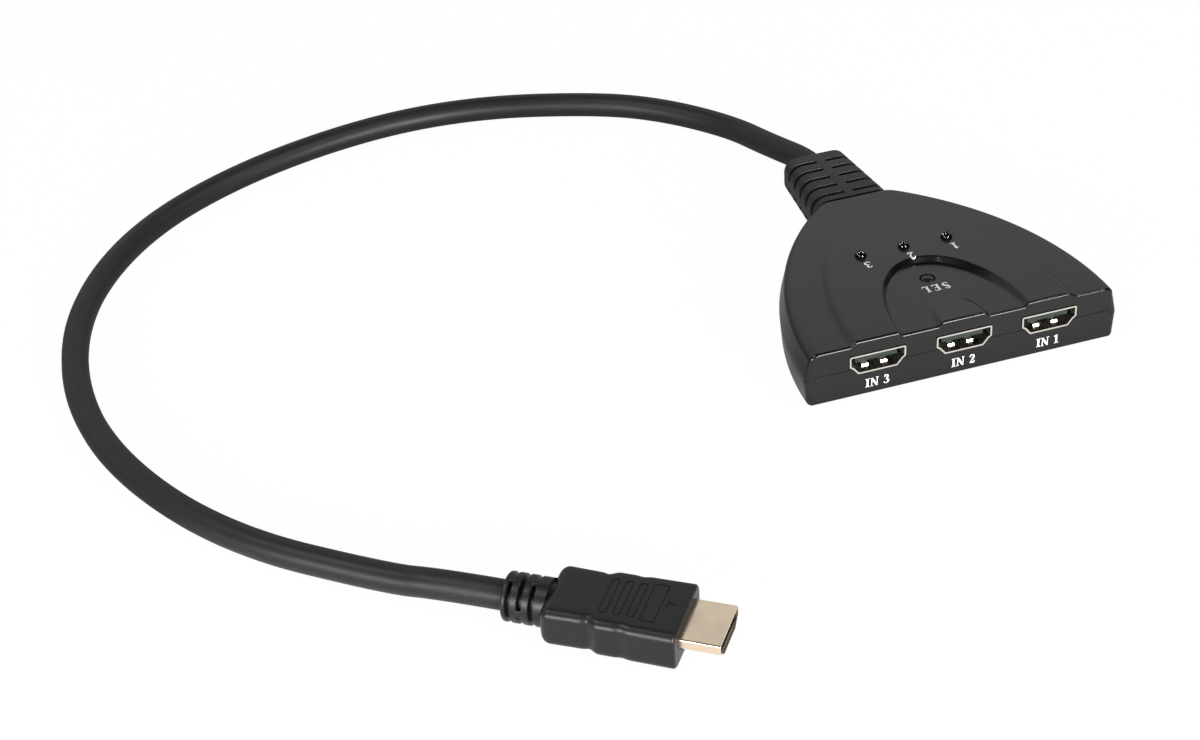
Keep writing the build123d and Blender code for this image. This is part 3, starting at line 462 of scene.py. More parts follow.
def front_cut_shell(name, outer, inner, angle, material, turned, rounding, upward):
    """A closed shell cut off flat at its front. Outer and inner surfaces are fans of rays from the
    middle of the front edge. Along the front each row of the outer fan stands back by its own edge
    radius, which dies away exponentially with depth. A quarter round joins it to the flat front
    face, closing in straight up or down over the middle and sideways at the walls, by each row's
    turn. The two rims are joined by a flat ring."""
    vertices, faces = [], []

    def add(points):
        start = sum(len(v) for v in vertices)
        vertices.append(points)
        return start + np.arange(len(points))

    def fan(stations, setback):
        """Indices and points of a fan that stands back along the front."""
        reach, height = stations
        depth = reach * np.sin(angle)
        depth = depth + setback * np.exp(-depth / EDGE_FADE)
        grid = np.stack([reach * np.cos(angle), depth, height], -1)
        index = add(grid.reshape(-1, 3)).reshape(reach.shape)
        for first, second in zip(index, index[1:]):
            faces.extend(strip(first, second))
        return index, grid

    outer_index, outer_grid = fan(outer, rounding[:, None])
    inner_index, _ = fan(inner, WALL)
    line = front_line(outer_index)
    x, _, z = front_line(outer_grid).T
    inward = np.stack([-np.sin(turned), upward * np.cos(turned)], -1)
    inward = np.concatenate([inward[::-1], inward[1:] * [-1, 1]])
    radius = np.concatenate([rounding[::-1], rounding[1:]])
    ends = []
    for turn in np.radians([15, 30, 45, 60, 75, 90]):
        shift = radius * (1 - math.cos(turn))
        depth = radius * (1 - math.sin(turn))
        row = add(np.stack([x + inward[:, 0] * shift, depth, z + inward[:, 1] * shift], -1))
        faces.extend(strip(line, row))
        line = row
        ends.append(row[[0, -1]])
    ends = np.array(ends)
    rim, inner_rim = outer_index[-1], inner_index[-1]
    faces += [line[::-1].tolist(), front_line(inner_index).tolist(), *strip(rim, inner_rim)]
    closing = np.concatenate([rim[:1], ends[:, 0], ends[::-1, 1], rim[-1:], inner_rim[-1:], inner_rim[:1]])
    faces.append(closing.tolist())
    return make_piece(name, np.concatenate(vertices), faces, material, "housing")


def plate(outline, z0, z1):
    """Vertices and faces of an upright prism from an outline in plan."""
    n = len(outline)
    grid = np.concatenate([np.column_stack([outline, np.full(n, z)]) for z in (z0, z1)])
    return grid, quads(2, n, close_columns=True) + [list(range(n))[::-1], list(range(n, 2 * n))]


def prism(outline, y0, y1):
    """Vertices and faces of a level prism: an outline in X and Z carried from y0 to y1."""
    vertices, faces = plate(outline, y0, y1)
    return vertices[:, [0, 2, 1]], faces


def upright(x, y, z0, z1, diameter):
    """Vertices and faces of an upright cylinder."""
    turn = np.linspace(0, 2 * math.pi, 48, endpoint=False)
    return plate(np.stack([x + diameter / 2 * np.cos(turn), y + diameter / 2 * np.sin(turn)], -1), z0, z1)


def gather(shapes):
    """Several vertex and face lists as one."""
    vertices, faces, start = [], [], 0
    for v, f in shapes:
        vertices.append(v)
        faces.extend([[start + i for i in face] for face in f])
        start += len(v)
    return np.concatenate(vertices), faces


def rounded_outline(points, radius, steps=5):
    """A closed outline with each corner replaced by an arc that is tangent to both its sides, worked
    out in complex numbers."""
    points = np.array(points, float) @ [1, 1j]
    arcs = []
    for before, corner, after in zip(np.roll(points, 1), points, np.roll(points, -1)):
        a = (before - corner) / abs(before - corner)
        b = (after - corner) / abs(after - corner)
        half = abs(np.angle(b / a)) / 2
        centre = corner + (a + b) / abs(a + b) * radius / math.sin(half)
        first, last = (corner + side * radius / math.tan(half) - centre for side in (a, b))
        arcs.append(centre + first * np.exp(1j * np.angle(last / first) * np.linspace(0, 1, steps)))
    arcs = np.concatenate(arcs)
    return np.stack([arcs.real, arcs.imag], -1)


def rectangle(half, low, high):
    """Corners of a rectangle, down its right side and up its left."""
    return [(half, high), (half, low), (-half, low), (-half, high)]


def shell_outline(corners):
    """A shell's D outline round its own middle from its right corners, grown by the clearance."""
    right = np.array(corners) + SHELL_CLEARANCE * np.array(SHELL_GROWTH)
    return rounded_outline([*right, *(right[::-1] * [-1, 1])], SHELL_CORNER)


def socket_cutters():
    """Closed prisms through the front wall, one for each socket."""
    outline = shell_outline(SOCKET_CORNERS) + [0, SOCKET_HEIGHT]
    return [prism(outline + [x, 0], -2, WALL + 2) for x in (SOCKET_PITCH, 0, -SOCKET_PITCH)]


def front_edge(count, turns, after, edge_radius, first, span):
    """For each row of a fan, its turn from level to upright and its radius along the front, which
    grows to the side wall's over a span of rows."""
    level = np.zeros(count - len(turns) - after)
    turned = np.concatenate([level, np.radians(turns), np.full(after, math.pi / 2)])
    share = np.clip((np.arange(count) - first) / span, 0, 1)
    return turned, edge_radius + (SIDE_EDGE_RADIUS - edge_radius) * share


def make_top_cover(material):
    """The top cover with its socket openings, holes and stepped front edge."""
    angle = spread_angles(321)
    inner = inner_stations(angle, lambda y: rim_height(y) - ROOF, PARTING + SEAM_GAP)
    stations = top_stations(angle)
    count = len(stations[0])
    edge = front_edge(count, SHOULDER_TURNS, 6, TOP_EDGE_RADIUS, count - 16, 9)
    cover = front_cut_shell("upper_housing", stations, inner, angle, material, *edge, -1)
    shapes = socket_cutters()
    shapes += [upright(x, LAMP_DEPTH, 10, 20, LAMP_HOLE) for x in (-LAMP_PITCH, 0, LAMP_PITCH)]
    shapes.append(upright(0, BUTTON_DEPTH, 10, 20, BUTTON_HOLE))
    neck = rounded_outline(rectangle(NECK_HALF, *NECK_HEIGHTS), NECK_CORNER, 9)
    shapes.append(prism(neck, BOX_DEPTH - 5.2, BOX_DEPTH + 3))
    combine(cover, shapes)
    half, top = FRONT_PARTING_HALF, FRONT_PARTING + SEAM_GAP
    combine(cover, [prism([(-half, 5), (half, 5), (half, top), (-half, top)], -1, STRIP_ROOM)])
    weighted(cover)
    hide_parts("top_cover")


def make_bottom_cover(material):
    """The bottom cover: a tray with a raised strip along its front and four screw holes."""
    angle = spread_angles(241)
    inner = inner_stations(angle, lambda y: np.full_like(y, FLOOR), PARTING)
    stations = bottom_stations(angle)
    edge = front_edge(len(stations[0]), FOOT_TURNS, 5, FOOT_EDGE_RADIUS, 4, 7)
    cover = front_cut_shell("lower_housing", stations, inner, angle, material, *edge, 1)
    half, top = FRONT_PARTING_HALF - SEAM_GAP, FRONT_PARTING
    strip = [(0, 6.8), (WALL, 6.8), (WALL, top), (SEAM_CHAMFER, top), (0, top - SEAM_CHAMFER)]
    vertices, faces = prism(strip, -half, half)
    combine(cover, [(vertices[:, [1, 0, 2]], faces)], "UNION")
    shapes = socket_cutters()
    for x, y in ((BOSS_FRONT_X, BOSS_FRONT_Y), (BOSS_REAR_X, BOSS_REAR_Y)):
        shapes += [upright(side * x, y, -1, FLOOR - 0.05, SCREW_COUNTERBORE) for side in (-1, 1)]
    combine(cover, shapes)
    weighted(cover)
    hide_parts("bottom_cover")


def loop_quarter(width, height, corner, rib, lips):
    """A quarter of a rounded rectangle for each station, from the middle of its top to the middle of
    its side: points, outward normals, and how far past the rib's edge each point is. The columns
    beside the rib follow the lips, and reach the corner arc in even steps."""
    near = rib + np.concatenate([[-rib], lips])

    def straight(reach):
        """Distances from a middle line to the arc, for each station."""
        span = (reach - corner - near[-1])[:, None]
        return np.concatenate([np.repeat(near[None], len(reach), 0), near[-1] + span * [0.4, 0.8]], 1)

    across, up = straight(width), straight(height)[:, ::-1]
    turn = np.radians(np.linspace(0, 90, 10))
    flat = across.shape[1]
    x_arc = (width - corner)[:, None] + corner[:, None] * np.sin(turn)
    z_arc = (height - corner)[:, None] + corner[:, None] * np.cos(turn)
    x = np.concatenate([across, x_arc, np.repeat(width[:, None], flat, 1)], 1)
    z = np.concatenate([np.repeat(height[:, None], flat, 1), z_arc, up], 1)
    normal_x = np.concatenate([np.zeros(flat), np.sin(turn), np.ones(flat)])
    normal_z = np.concatenate([np.ones(flat), np.cos(turn), np.zeros(flat)])
    return np.stack([x, z], -1), np.stack([normal_x, normal_z], -1), np.minimum(x, z) - rib


def full_loop(quarter):
    """The whole loop from its first quarter, by mirroring it in both middle lines."""
    right = np.concatenate([quarter, (quarter * [1, -1])[:, -2::-1]], 1)
    return np.concatenate([right, (right * [-1, 1])[:, -2:0:-1]], 1)


def lip_depth(past, depth, lip):
    """Depth of a slot at a distance past its edge: nothing outside, a quarter round over the lip, and
    the whole depth just inside."""
    inside = np.clip(past + lip, 0, lip)
    rounded = lip - np.sqrt(np.maximum(lip**2 - inside**2, 0))
    return np.where(past > 0.01, depth, rounded)


def slot_lips(lip):
    """Distances past an edge at which a slot's lip and wall get their rows."""
    return np.concatenate([-lip * np.cos(np.radians([0, 25, 45, 65])) + 0.0, [0.0, 0.03]])


def slotted_rows(low, high, centres, width, lip):
    """Stations between two ends with the rows that the slots' lips and walls need."""
    lips = slot_lips(lip)
    rows = [np.linspace(low, high, 12)]
    for centre in centres:
        rows += [centre - width / 2 + lips, centre + width / 2 - lips]
    rows = np.unique(np.round(np.concatenate(rows), 5))
    return rows[(rows >= low) & (rows <= high)]


def ring(place, angle, radius, height):
    """A ring's points, along, across and up, round a level axis at a height."""
    return np.stack([np.full_like(angle, place), radius * np.cos(angle), height + radius * np.sin(angle)], -1)


def along_axis(places, across, up):
    """A grid of points, along, across and up, from a place for each row."""
    return np.stack([np.repeat(places[:, None], across.shape[1], 1), across, up], -1)


def to_axis(row, height):
    """A row of a grid drawn to a point on a level axis at a height."""
    return row * [1, 0, 0] + [0, 0, height]


def make_tube(name, grid, material, slot, body="root"):
    """A piece from rows of closed loops, with rows drawn to a point as its ends."""
    faces = quads(*grid.shape[:2], close_columns=True)
    return make_piece(name, grid.reshape(-1, 3), faces, material, slot, body)


def make_boot(material):
    """The strain relief: a rounded rectangle that narrows to the lead, with rows of slots whose
    depth is taken along the section's normals, a rounded end and a mouth round the lead."""
    centres = np.array([BOOT_END - SLOT_FIRST - i * SLOT_PITCH for i in range(SLOT_ROWS)])
    y = slotted_rows(BOX_DEPTH - 2.9, BOOT_END - BOOT_ROUND, centres, SLOT_WIDTH, BOOT_LIP)
    turn = np.radians(np.linspace(0, 90, 7)[1:])
    y = np.concatenate([y, BOOT_END - BOOT_ROUND * (1 - np.sin(turn))])
    share = np.clip((y - BOX_DEPTH) / BOOT_LENGTH, 0, 1)
    inset = np.zeros_like(y)
    inset[-len(turn):] = BOOT_ROUND * (1 - np.cos(turn))
    width, height, corner = (base + (tip - base) * share - inset for base, tip in zip(BOOT_BASE, BOOT_TIP))
    points, normals, past = loop_quarter(width, height, corner, BOOT_RIB / 2, slot_lips(BOOT_LIP))
    along = SLOT_WIDTH / 2 - np.abs(y[:, None] - centres).min(1)[:, None]
    depth = np.minimum(lip_depth(past, SLOT_DEPTH, BOOT_LIP), lip_depth(along, SLOT_DEPTH, BOOT_LIP))
    loop = full_loop(points - normals * depth[..., None])
    middle = (BOOT_UNDERSIDE + height + inset)[:, None]
    rib_middle = BOOT_UNDERSIDE + BOOT_TIP[1]
    flat = (height - corner)[:, None]
    hold = np.clip((flat - np.abs(loop[..., 1])) / (flat - BOOT_RIB / 2), 0, 1)
    z = loop[..., 1] + middle + (rib_middle - middle) * hold
    grid = along_axis(y, loop[..., 0], z)
    heading = np.arctan2(loop[-1, :, 1], loop[-1, :, 0])
    mouth = ((0, 0.25), (-0.2, 0.05), (-1, -0.3), (-1, -LEAD_DIAMETER / 2))
    rings = [ring(BOOT_END + back, heading, LEAD_DIAMETER / 2 + more, BOOT_AXIS) for back, more in mouth]
    grid = np.concatenate([to_axis(grid[:1], BOOT_AXIS), grid, np.array(rings)])
    boot = make_tube("strain_relief", grid[..., [1, 0, 2]], material, "boot_rubber")
    weighted(boot)
    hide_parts("cable_boot")


def plug_points(local):
    """Points of the plug's frame, along, across and up, as the box's millimetres."""
    turn = math.radians(PLUG_YAW)
    c, s = math.cos(turn), math.sin(turn)
    u, v, z = local[..., 0] - PLUG_LENGTH, local[..., 1], local[..., 2]
    return np.stack([PLUG_FRONT[0] + u * c - v * s, PLUG_FRONT[1] + u * s + v * c, z], -1)


def grip_half(u):
    """Half width of the grip along its length: straight runs between the plan's corners, blurred."""
    dense = np.linspace(-6, PLUG_LENGTH + 6, 2400)
    raw = np.interp(dense, np.array(GRIP_SHARES) * PLUG_LENGTH, GRIP_HALVES)
    spread = np.arange(-3, 3.001, dense[1] - dense[0])
    kernel = np.exp(-((spread / GRIP_BLUR) ** 2) / 2)
    soft = np.convolve(np.pad(raw, len(spread) // 2, "edge"), kernel / kernel.sum(), "same")
    return np.interp(u, dense, soft[len(spread) // 2:][:len(dense)])


def stadium(length, width):
    """The outline of a slot with round ends, long across the plug."""
    turn = np.linspace(0, math.pi, 10)
    radius = width / 2
    end = np.stack([radius * np.cos(turn), length / 2 - radius + radius * np.sin(turn)], -1)
    return np.concatenate([end, -end])


def groove(outline, along):
    """Vertices and faces of a closed ring: an outline in plan and its copy moved in by the line's
    width, from the groove's floor to above the plug."""
    size = np.abs(outline).max(0)
    inner = outline * ((size - LINE_WIDTH) / size)
    low, high = PLUG_TOP - LINE_DEPTH, PLUG_TOP + 1
    rings = [(outline, low), (outline, high), (inner, high), (inner, low)]
    grid = [np.column_stack([line + (along, 0.2), np.full(len(line), z)]) for line, z in rings]
    return np.concatenate(grid), quads(4, len(outline), True, True)


def make_grip(material):
    """The plug's grip: a rounded rectangle carried along the waisted plan, with rounded ends, three
    bars, a frame and an arrow sunk in its top, and an opening for the shell."""
    turn = np.radians(np.linspace(0, 90, 10))
    front = PLUG_LENGTH - GRIP_FRONT
    runs = [GRIP_REAR * (1 - np.sin(turn[::-1])), np.linspace(GRIP_REAR, front, 90)[1:-1]]
    u = np.concatenate([*runs, PLUG_LENGTH - GRIP_FRONT * (1 - np.sin(turn))])
    inset = np.zeros_like(u)
    inset[:10] = GRIP_REAR * (1 - np.cos(turn[::-1]))
    inset[-10:] = GRIP_FRONT * (1 - np.cos(turn))
    height = np.full_like(u, PLUG_HEIGHT / 2) - inset
    corner = np.maximum(GRIP_CORNER - inset * 0.4, 0.6)
    points, _, _ = loop_quarter(grip_half(u) - inset, height, corner, 0.4, np.array([0.0, 0.5]))
    loop = full_loop(points)
    grid = along_axis(u, loop[..., 0], loop[..., 1] + PLUG_AXIS_HEIGHT)
    ends = to_axis(grid[[0, -1]], PLUG_AXIS_HEIGHT)
    grid = np.concatenate([ends[:1], grid, ends[1:]])
    grip = make_tube("plug_grip", plug_points(grid), material, "plug_moulding")
    shapes = [groove(stadium(*BAR_SIZE), PLUG_LENGTH * BAR_FIRST + i * BAR_PITCH) for i in range(3)]
    frame_line = rounded_outline(rectangle(1.75, -6.2, 6.2), 0.35)
    shapes.append(groove(frame_line, PLUG_LENGTH * FRAME_PLACE))
    arrow = np.array([(1.0, 0.0), (-1.0, 1.0), (-1.0, -1.0)]) + [PLUG_LENGTH * ARROW_PLACE, 0.6]
    shapes.append(plate(arrow, PLUG_TOP - LINE_DEPTH, PLUG_TOP + 1))
    mouth = shell_outline(PLUG_CORNERS) + [0, PLUG_AXIS_HEIGHT]
    vertices, faces = prism(mouth, PLUG_LENGTH - 0.8, PLUG_LENGTH + 1)
    shapes.append((vertices[:, [1, 0, 2]], faces))
    combine(grip, [(plug_points(points), faces) for points, faces in shapes])
    weighted(grip)
    return grip


def make_relief(material):
    """The plug's slotted tail: a tapered tube whose slots turn a quarter from one ring to the next."""
    start, lip = -RELIEF_LENGTH, RELIEF_LIP
    centres = [start + RELIEF_FIRST + RELIEF_SLOT / 2 + i * RELIEF_PITCH for i in range(3)]
    turn = np.radians(np.linspace(90, 0, 6)[:-1])
    rows = slotted_rows(start + RELIEF_ROUND, 0.35, centres, RELIEF_SLOT, lip)
    u = np.concatenate([start + RELIEF_ROUND * (1 - np.sin(turn)), rows, [0.36, 3.0]])
    inset = np.concatenate([RELIEF_ROUND * (1 - np.cos(turn)), np.zeros_like(rows), [0.9, 1.1]])
    edges = np.arcsin(np.clip((RELIEF_RIB / 2 + slot_lips(lip)) / RELIEF_RADIUS, 0, 1))
    quarter = np.concatenate([edges, math.pi / 2 - edges, np.linspace(0, math.pi / 2, 13)[:-1]])
    angle = np.unique(np.round(np.concatenate([quarter + k * math.pi / 2 for k in range(4)]), 5))
    v, z = np.cos(angle)[None], np.sin(angle)[None]
    depth = np.zeros((len(u), len(angle)))
    for i, centre in enumerate(centres):
        past = np.abs(z if i % 2 else v) * RELIEF_RADIUS - RELIEF_RIB / 2
        along = RELIEF_SLOT / 2 - np.abs(u - centre)[:, None]
        slot = np.minimum(lip_depth(past, RELIEF_DEPTH, lip), lip_depth(along, RELIEF_DEPTH, lip))
        depth = np.maximum(depth, slot)
    reach = (RELIEF_RADIUS - inset)[:, None] - depth
    grid = along_axis(u, reach * v, reach * z + PLUG_AXIS_HEIGHT)
    mouth = ((start + 1, 0), (start + 1, 3.2), (start + 0.2, 3.55), (start, 3.75))
    rings = [ring(place, angle, radius, PLUG_AXIS_HEIGHT) for place, radius in mouth]
    grid = np.concatenate([np.array(rings), grid, to_axis(grid[-1:], PLUG_AXIS_HEIGHT)])
    relief = make_tube("plug_relief", plug_points(grid), material, "plug_moulding")
    weighted(relief)
    return relief


def stem(x, pen):
    """An upright pen stroke."""
    return [(x, 0, pen), (x, 100, pen)]


def bar(y, x0, x1):
    """A thin level pen stroke."""
    return [(x0, y, 7), (x1, y, 7)]


# Printed marks in a box a hundred units high: a width, and pen strokes as points of x, y and pen width
GLYPHS = {
    "I": (42, [stem(21, 19), bar(3.5, 0, 42), bar(96.5, 0, 42)]),
    "N": (85, [
        stem(13, 7), [(12, 96, 20), (70, 4, 20)], stem(71, 7),
        bar(3.5, 0, 27), bar(96.5, 0, 20), bar(96.5, 57, 85),
    ]),
    "S": (58, [[
        (50, 80, 6), (45, 92, 7), (30, 96.5, 8), (14, 90, 12), (11, 75, 15), (20, 61, 18),
        (39, 46, 19), (50, 31, 17), (48, 13, 13), (32, 3.5, 8), (15, 7, 7), (7, 22, 6),
    ]]),
    "E": (64, [
        stem(17, 18), bar(3.5, 0, 62), bar(96.5, 0, 58), [(17, 51, 6), (44, 51, 6)],
        [(43, 40, 5), (43, 62, 5)], [(57, 100, 5), (57, 78, 5)], [(61, 0, 5), (61, 24, 5)],
    ]),
    "L": (60, [stem(17, 18), bar(3.5, 0, 58), bar(96.5, 0, 35), [(57, 0, 5), (57, 28, 5)]]),
    "1": (54, [[(27, 0, 19), (27, 98, 19)], [(3, 80, 8), (15, 86, 10), (28, 97, 9)], bar(3.5, 3, 51)]),
    "2": (58, [
        [
            (9, 74, 13), (11, 87, 10), (26, 96, 7), (44, 88, 14),
            (48, 70, 18), (40, 48, 15), (22, 25, 9), (6, 8, 7),
        ],
        [(4, 8, 15), (52, 8, 15)], [(54, 5, 5), (56, 28, 5)],
    ]),
    "3": (58, [
        [(9, 80, 11), (15, 92, 8), (29, 96.5, 7), (43, 87, 15), (43, 70, 16), (32, 57, 8), (19, 53, 5)],
        [
            (19, 53, 5), (37, 49, 10), (49, 37, 18), (49, 20, 18),
            (37, 6, 10), (23, 3.5, 7), (10, 10, 9), (8, 20, 12),
        ],
    ]),
    " ": (34, []),
}


def stroke_edges(points):
    """Left and right edges of a pen stroke: a smooth curve through its points, with half the pen's
    width to each side along the curve's normal."""
    points = np.array(points) / 100
    if len(points) > 2:
        padded = np.concatenate([2 * points[:1] - points[1:2], points, 2 * points[-1:] - points[-2:-1]])
        t = np.linspace(0, 1, 5, endpoint=False)[None, :, None]
        a, b, c, d = (padded[k:len(padded) - 3 + k, None, :] for k in range(4))
        bend = (2 * a - 5 * b + 4 * c - d) * t**2 + (3 * b - a - 3 * c + d) * t**3
        curve = 0.5 * (2 * b + (c - a) * t + bend)
        points = np.concatenate([curve.reshape(-1, 3), points[-1:]])
    ahead = np.gradient(points[:, :2], axis=0)
    ahead = ahead / np.linalg.norm(ahead, axis=1, keepdims=True)
    side = np.stack([-ahead[:, 1], ahead[:, 0]], -1) * points[:, 2:] / 2
    return points[:, :2] + side, points[:, :2] - side


def make_mark(name, words, height, gap, place, material):
    """Printed words as one piece: each stroke is a flat closed band, put on the surface by a function
    of its x, y and how far it stands proud."""
    widths = [GLYPHS[letter][0] / 100 * height for letter in words]
    shapes, start = [], -(sum(widths) + gap * (len(words) - 1)) / 2
    for letter, width in zip(words, widths):
        for stroke in GLYPHS[letter][1]:
            left, right = (edge * height + [start, -height / 2] for edge in stroke_edges(stroke))
            edges = ((left, INK_PROUD), (right, INK_PROUD), (right, -INK_SUNK), (left, -INK_SUNK))
            grid = np.stack([place(edge, proud) for edge, proud in edges], 1)
            last = 4 * len(grid) - 1
            ends = [[0, 1, 2, 3], [last, last - 1, last - 2, last - 3]]
            shapes.append((grid.reshape(-1, 3), quads(len(grid), 4, close_columns=True) + ends))
        start += width + gap
    make_piece(name, *gather(shapes), material, "housing", smooth_angle=10)


def on_top(centre):
    """Places printed points on the top surface round a centre, to be read from the back."""
    def place(points, proud):
        x, y = centre[0] - points[:, 0], centre[1] - points[:, 1]
        z = top_height(np.arctan2(y, x), np.hypot(x, y))
        return np.stack([x, y, z + proud], -1)
    return place


def on_front(centre):
    """Places printed points on the front face round a centre."""
    def place(points, proud):
        x, z = centre[0] + points[:, 0], centre[1] + points[:, 1]
        return np.stack([x, np.full(len(points), -proud), z], -1)
    return place


def make_print(material, top_material):
    """The printed marks: a word and number under each socket, and on the top, in another ink, a
    number by each lamp and a short word by the button."""
    for number, x in enumerate((SOCKET_PITCH, 0, -SOCKET_PITCH), start=1):
        make_mark(f"socket_mark_{number}", f"IN {number}", 2.5, 0.25, on_front((x, 3.2)), material)
    for number, x in enumerate((LAMP_PITCH, 0, -LAMP_PITCH), start=1):
        make_mark(f"lamp_mark_{number}", str(number), 2.9, 0.2, on_top((x, LAMP_DEPTH - 5.1)), top_material)
    make_mark("button_mark", "SEL", 2.9, 0.9, on_top((0.2, 17.0)), top_material)


def lathe(name, profile, centre, material, slot, body="root"):
    """A turned piece: a profile of radius and height carried round an upright axis."""
    profile = np.array(profile, float)
    turn = np.linspace(0, 2 * math.pi, 64, endpoint=False)
    x = centre[0] + profile[:, :1] * np.cos(turn)
    y = centre[1] + profile[:, :1] * np.sin(turn)
    z = np.repeat(profile[:, 1:], len(turn), 1)
    return make_tube(name, np.stack([x, y, z], -1), material, slot, body)


def make_lamps(material):
    """Three domed lamps: a half ball on a straight body with a rim under the roof."""
    top = arch_height(LAMP_DEPTH) + LAMP_PROUD
    radius, rim, low = LAMP_RADIUS, LAMP_RIM, top - LAMP_LENGTH
    turn = np.radians(np.linspace(90, 0, 14))
    dome = np.stack([radius * np.cos(turn), top - radius + radius * np.sin(turn)], -1)
    body = [(radius, low + 0.9), (rim, low + 0.8), (rim, low + 0.1), (rim - 0.1, low), (0, low)]
    for number, x in enumerate((LAMP_PITCH, 0, -LAMP_PITCH), start=1):
        lamp = lathe(f"lamp_{number}", [*dome, *body], (x, LAMP_DEPTH), material, "lamp_resin")
        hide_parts(f"led_{number}")


def make_button(material):
    """The select button: a shallow dome with a soft rim, its flange under the roof and its stem."""
    top = recess_height(BUTTON_DEPTH) + BUTTON_PROUD
    flange = rim_height(BUTTON_DEPTH) - ROOF - 0.3
    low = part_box("select_button")[0].z / MM
    turn = np.radians([90, 84, 78, 72, 67])
    dome = DOME_RADIUS * np.stack([np.cos(turn), np.sin(turn) - 1], -1) + [0, top]
    rim = dome[-1]
    edge = [
        (rim[0] + 0.06, rim[1] - 0.05), (CAP_RADIUS, rim[1] - 0.15), (CAP_RADIUS, flange),
        (FLANGE_RADIUS, flange), (FLANGE_RADIUS, flange - 1.0),
        (STEM_RADIUS, flange - 1.0), (STEM_RADIUS, low), (0, low),
    ]
    button = lathe("button_cap", [*dome, *edge], (0, BUTTON_DEPTH), material, "button", "select_button")
    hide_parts("select_button")


def wire(tree, node, inputs):
    """Sets a node's inputs to values, or joins them to sockets."""
    for name, value in inputs.items():
        if isinstance(value, bpy.types.NodeSocket):
            tree.links.new(value, node.inputs[name])
        else:
            node.inputs[name].default_value = value
    return node


def shader_node(tree, kind, inputs, **settings):
    """A new shader node with its settings and inputs; returns its outputs."""
    node = tree.nodes.new("ShaderNode" + kind)
    for name, value in settings.items():
        setattr(node, name, value)
    return wire(tree, node, inputs).outputs


def math_node(tree, operation, first, second):
    """A Math node's value, from sockets or numbers."""
    return shader_node(tree, "Math", {0: first, 1: second}, operation=operation)[0]


def mix_node(tree, kind, share, first, second):
    """A Mix node's result."""
    return shader_node(tree, "Mix", {"Factor": share, "A": first, "B": second}, data_type=kind)["Result"]


def noise_node(tree, vector, scale, detail, roughness=0.55):
    """A noise texture's value on a vector, with its scale a socket or a number."""
    inputs = {"Vector": vector, "Scale": scale, "Detail": detail, "Roughness": roughness}
    return shader_node(tree, "TexNoise", inputs)["Fac"]


def ranged(tree, value, low, high, start, end, kind="SMOOTHSTEP"):
    """A value carried from one range to another."""
    inputs = {"Value": value, "From Min": low, "From Max": high, "To Min": start, "To Max": end}
    return shader_node(tree, "MapRange", inputs, interpolation_type=kind)["Result"]


def value_group(name, inputs, outputs):
    """A shader node group with a vector input, value inputs by their defaults, and value outputs:
    its tree, its start's sockets and its end."""
    group = bpy.data.node_groups.new(name, "ShaderNodeTree")
    group.interface.new_socket("Vector", in_out="INPUT", socket_type="NodeSocketVector")
    for label, default in inputs.items():
        socket = group.interface.new_socket(label, in_out="INPUT", socket_type="NodeSocketFloat")
        socket.default_value = default
    for label in outputs:
        group.interface.new_socket(label, in_out="OUTPUT", socket_type="NodeSocketFloat")
    return group, group.nodes.new("NodeGroupInput").outputs, group.nodes.new("NodeGroupOutput")


def make_grain_group():
    """Spark-eroded mould grain: fine cells mixed with finer noise, as a height."""
    group, start, end = value_group("mould_grain", {"Grains per metre": 4000.0}, ["Height"])
    vector, grains = start["Vector"], start["Grains per metre"]
    cells = shader_node(group, "TexVoronoi", {"Vector": vector, "Scale": grains})["Distance"]
    fine = noise_node(group, vector, grains, 3)
    wire(group, end, {"Height": math_node(group, "ADD", math_node(group, "MULTIPLY", cells, 0.6), fine)})
    return group


def make_handling_group():
    """Traces of handling: broad soft smudges that change how rough a surface is, and a fine dust."""
    group, start, end = value_group(
        "handling", {"Smudges per metre": 60.0, "Low": 0.3, "High": 0.4}, ["Roughness", "Dust"])
    smudge = noise_node(group, start["Vector"], start["Smudges per metre"], 4, 0.6)
    rough = ranged(group, smudge, 0.35, 0.65, start["Low"], start["High"], "LINEAR")
    specks = noise_node(group, start["Vector"], 2600.0, 2)
    specks = math_node(group, "MULTIPLY", specks, math_node(group, "ADD", smudge, 0.45))
    wire(group, end, {"Roughness": rough, "Dust": ranged(group, specks, 0.66, 0.78, 0.0, 1.0, "LINEAR")})
    return group


def finish(name, roughness, smudges, looks):
    """A material with the given shader values and the traces of handling: the material, its
    coordinates and its dust."""
    material = bpy.data.materials.new(name)
    material.use_nodes = True
    tree = material.node_tree
    place = shader_node(tree, "TexCoord", {})["Object"]
    marks = {"Vector": place, "Smudges per metre": smudges, "Low": roughness[0], "High": roughness[1]}
    handling = shader_node(tree, "Group", marks, node_tree=HANDLING)
    wire(tree, tree.nodes["Principled BSDF"], {"Roughness": handling["Roughness"], **looks})
    return material, place, handling["Dust"]


def surface(tree, first, second, share, height, depth):
    """Base colour mixed from two colours or greys by a share, and a height of a depth in metres as
    bump."""
    first, second = ((*np.broadcast_to(tone, 3), 1) for tone in (first, second))
    colour = mix_node(tree, "RGBA", share, first, second)
    bump = shader_node(tree, "Bump", {"Height": height, "Distance": depth})["Normal"]
    wire(tree, tree.nodes["Principled BSDF"], {"Base Color": colour, "Normal": bump})


def moulded(name, colour, dusty, roughness, grains, depth, gloss=0.5):
    """A moulded finish: a base colour that dust pales a little, roughness that handling changes,
    and mould grain as bump. Gloss is how strongly it mirrors."""
    material, place, dust = finish(name, roughness, 60.0, {"Specular IOR Level": gloss})
    tree = material.node_tree
    grain = shader_node(tree, "Group", {"Vector": place, "Grains per metre": grains}, node_tree=GRAIN)
    surface(tree, colour, dusty, dust, grain["Height"], depth)
    return material


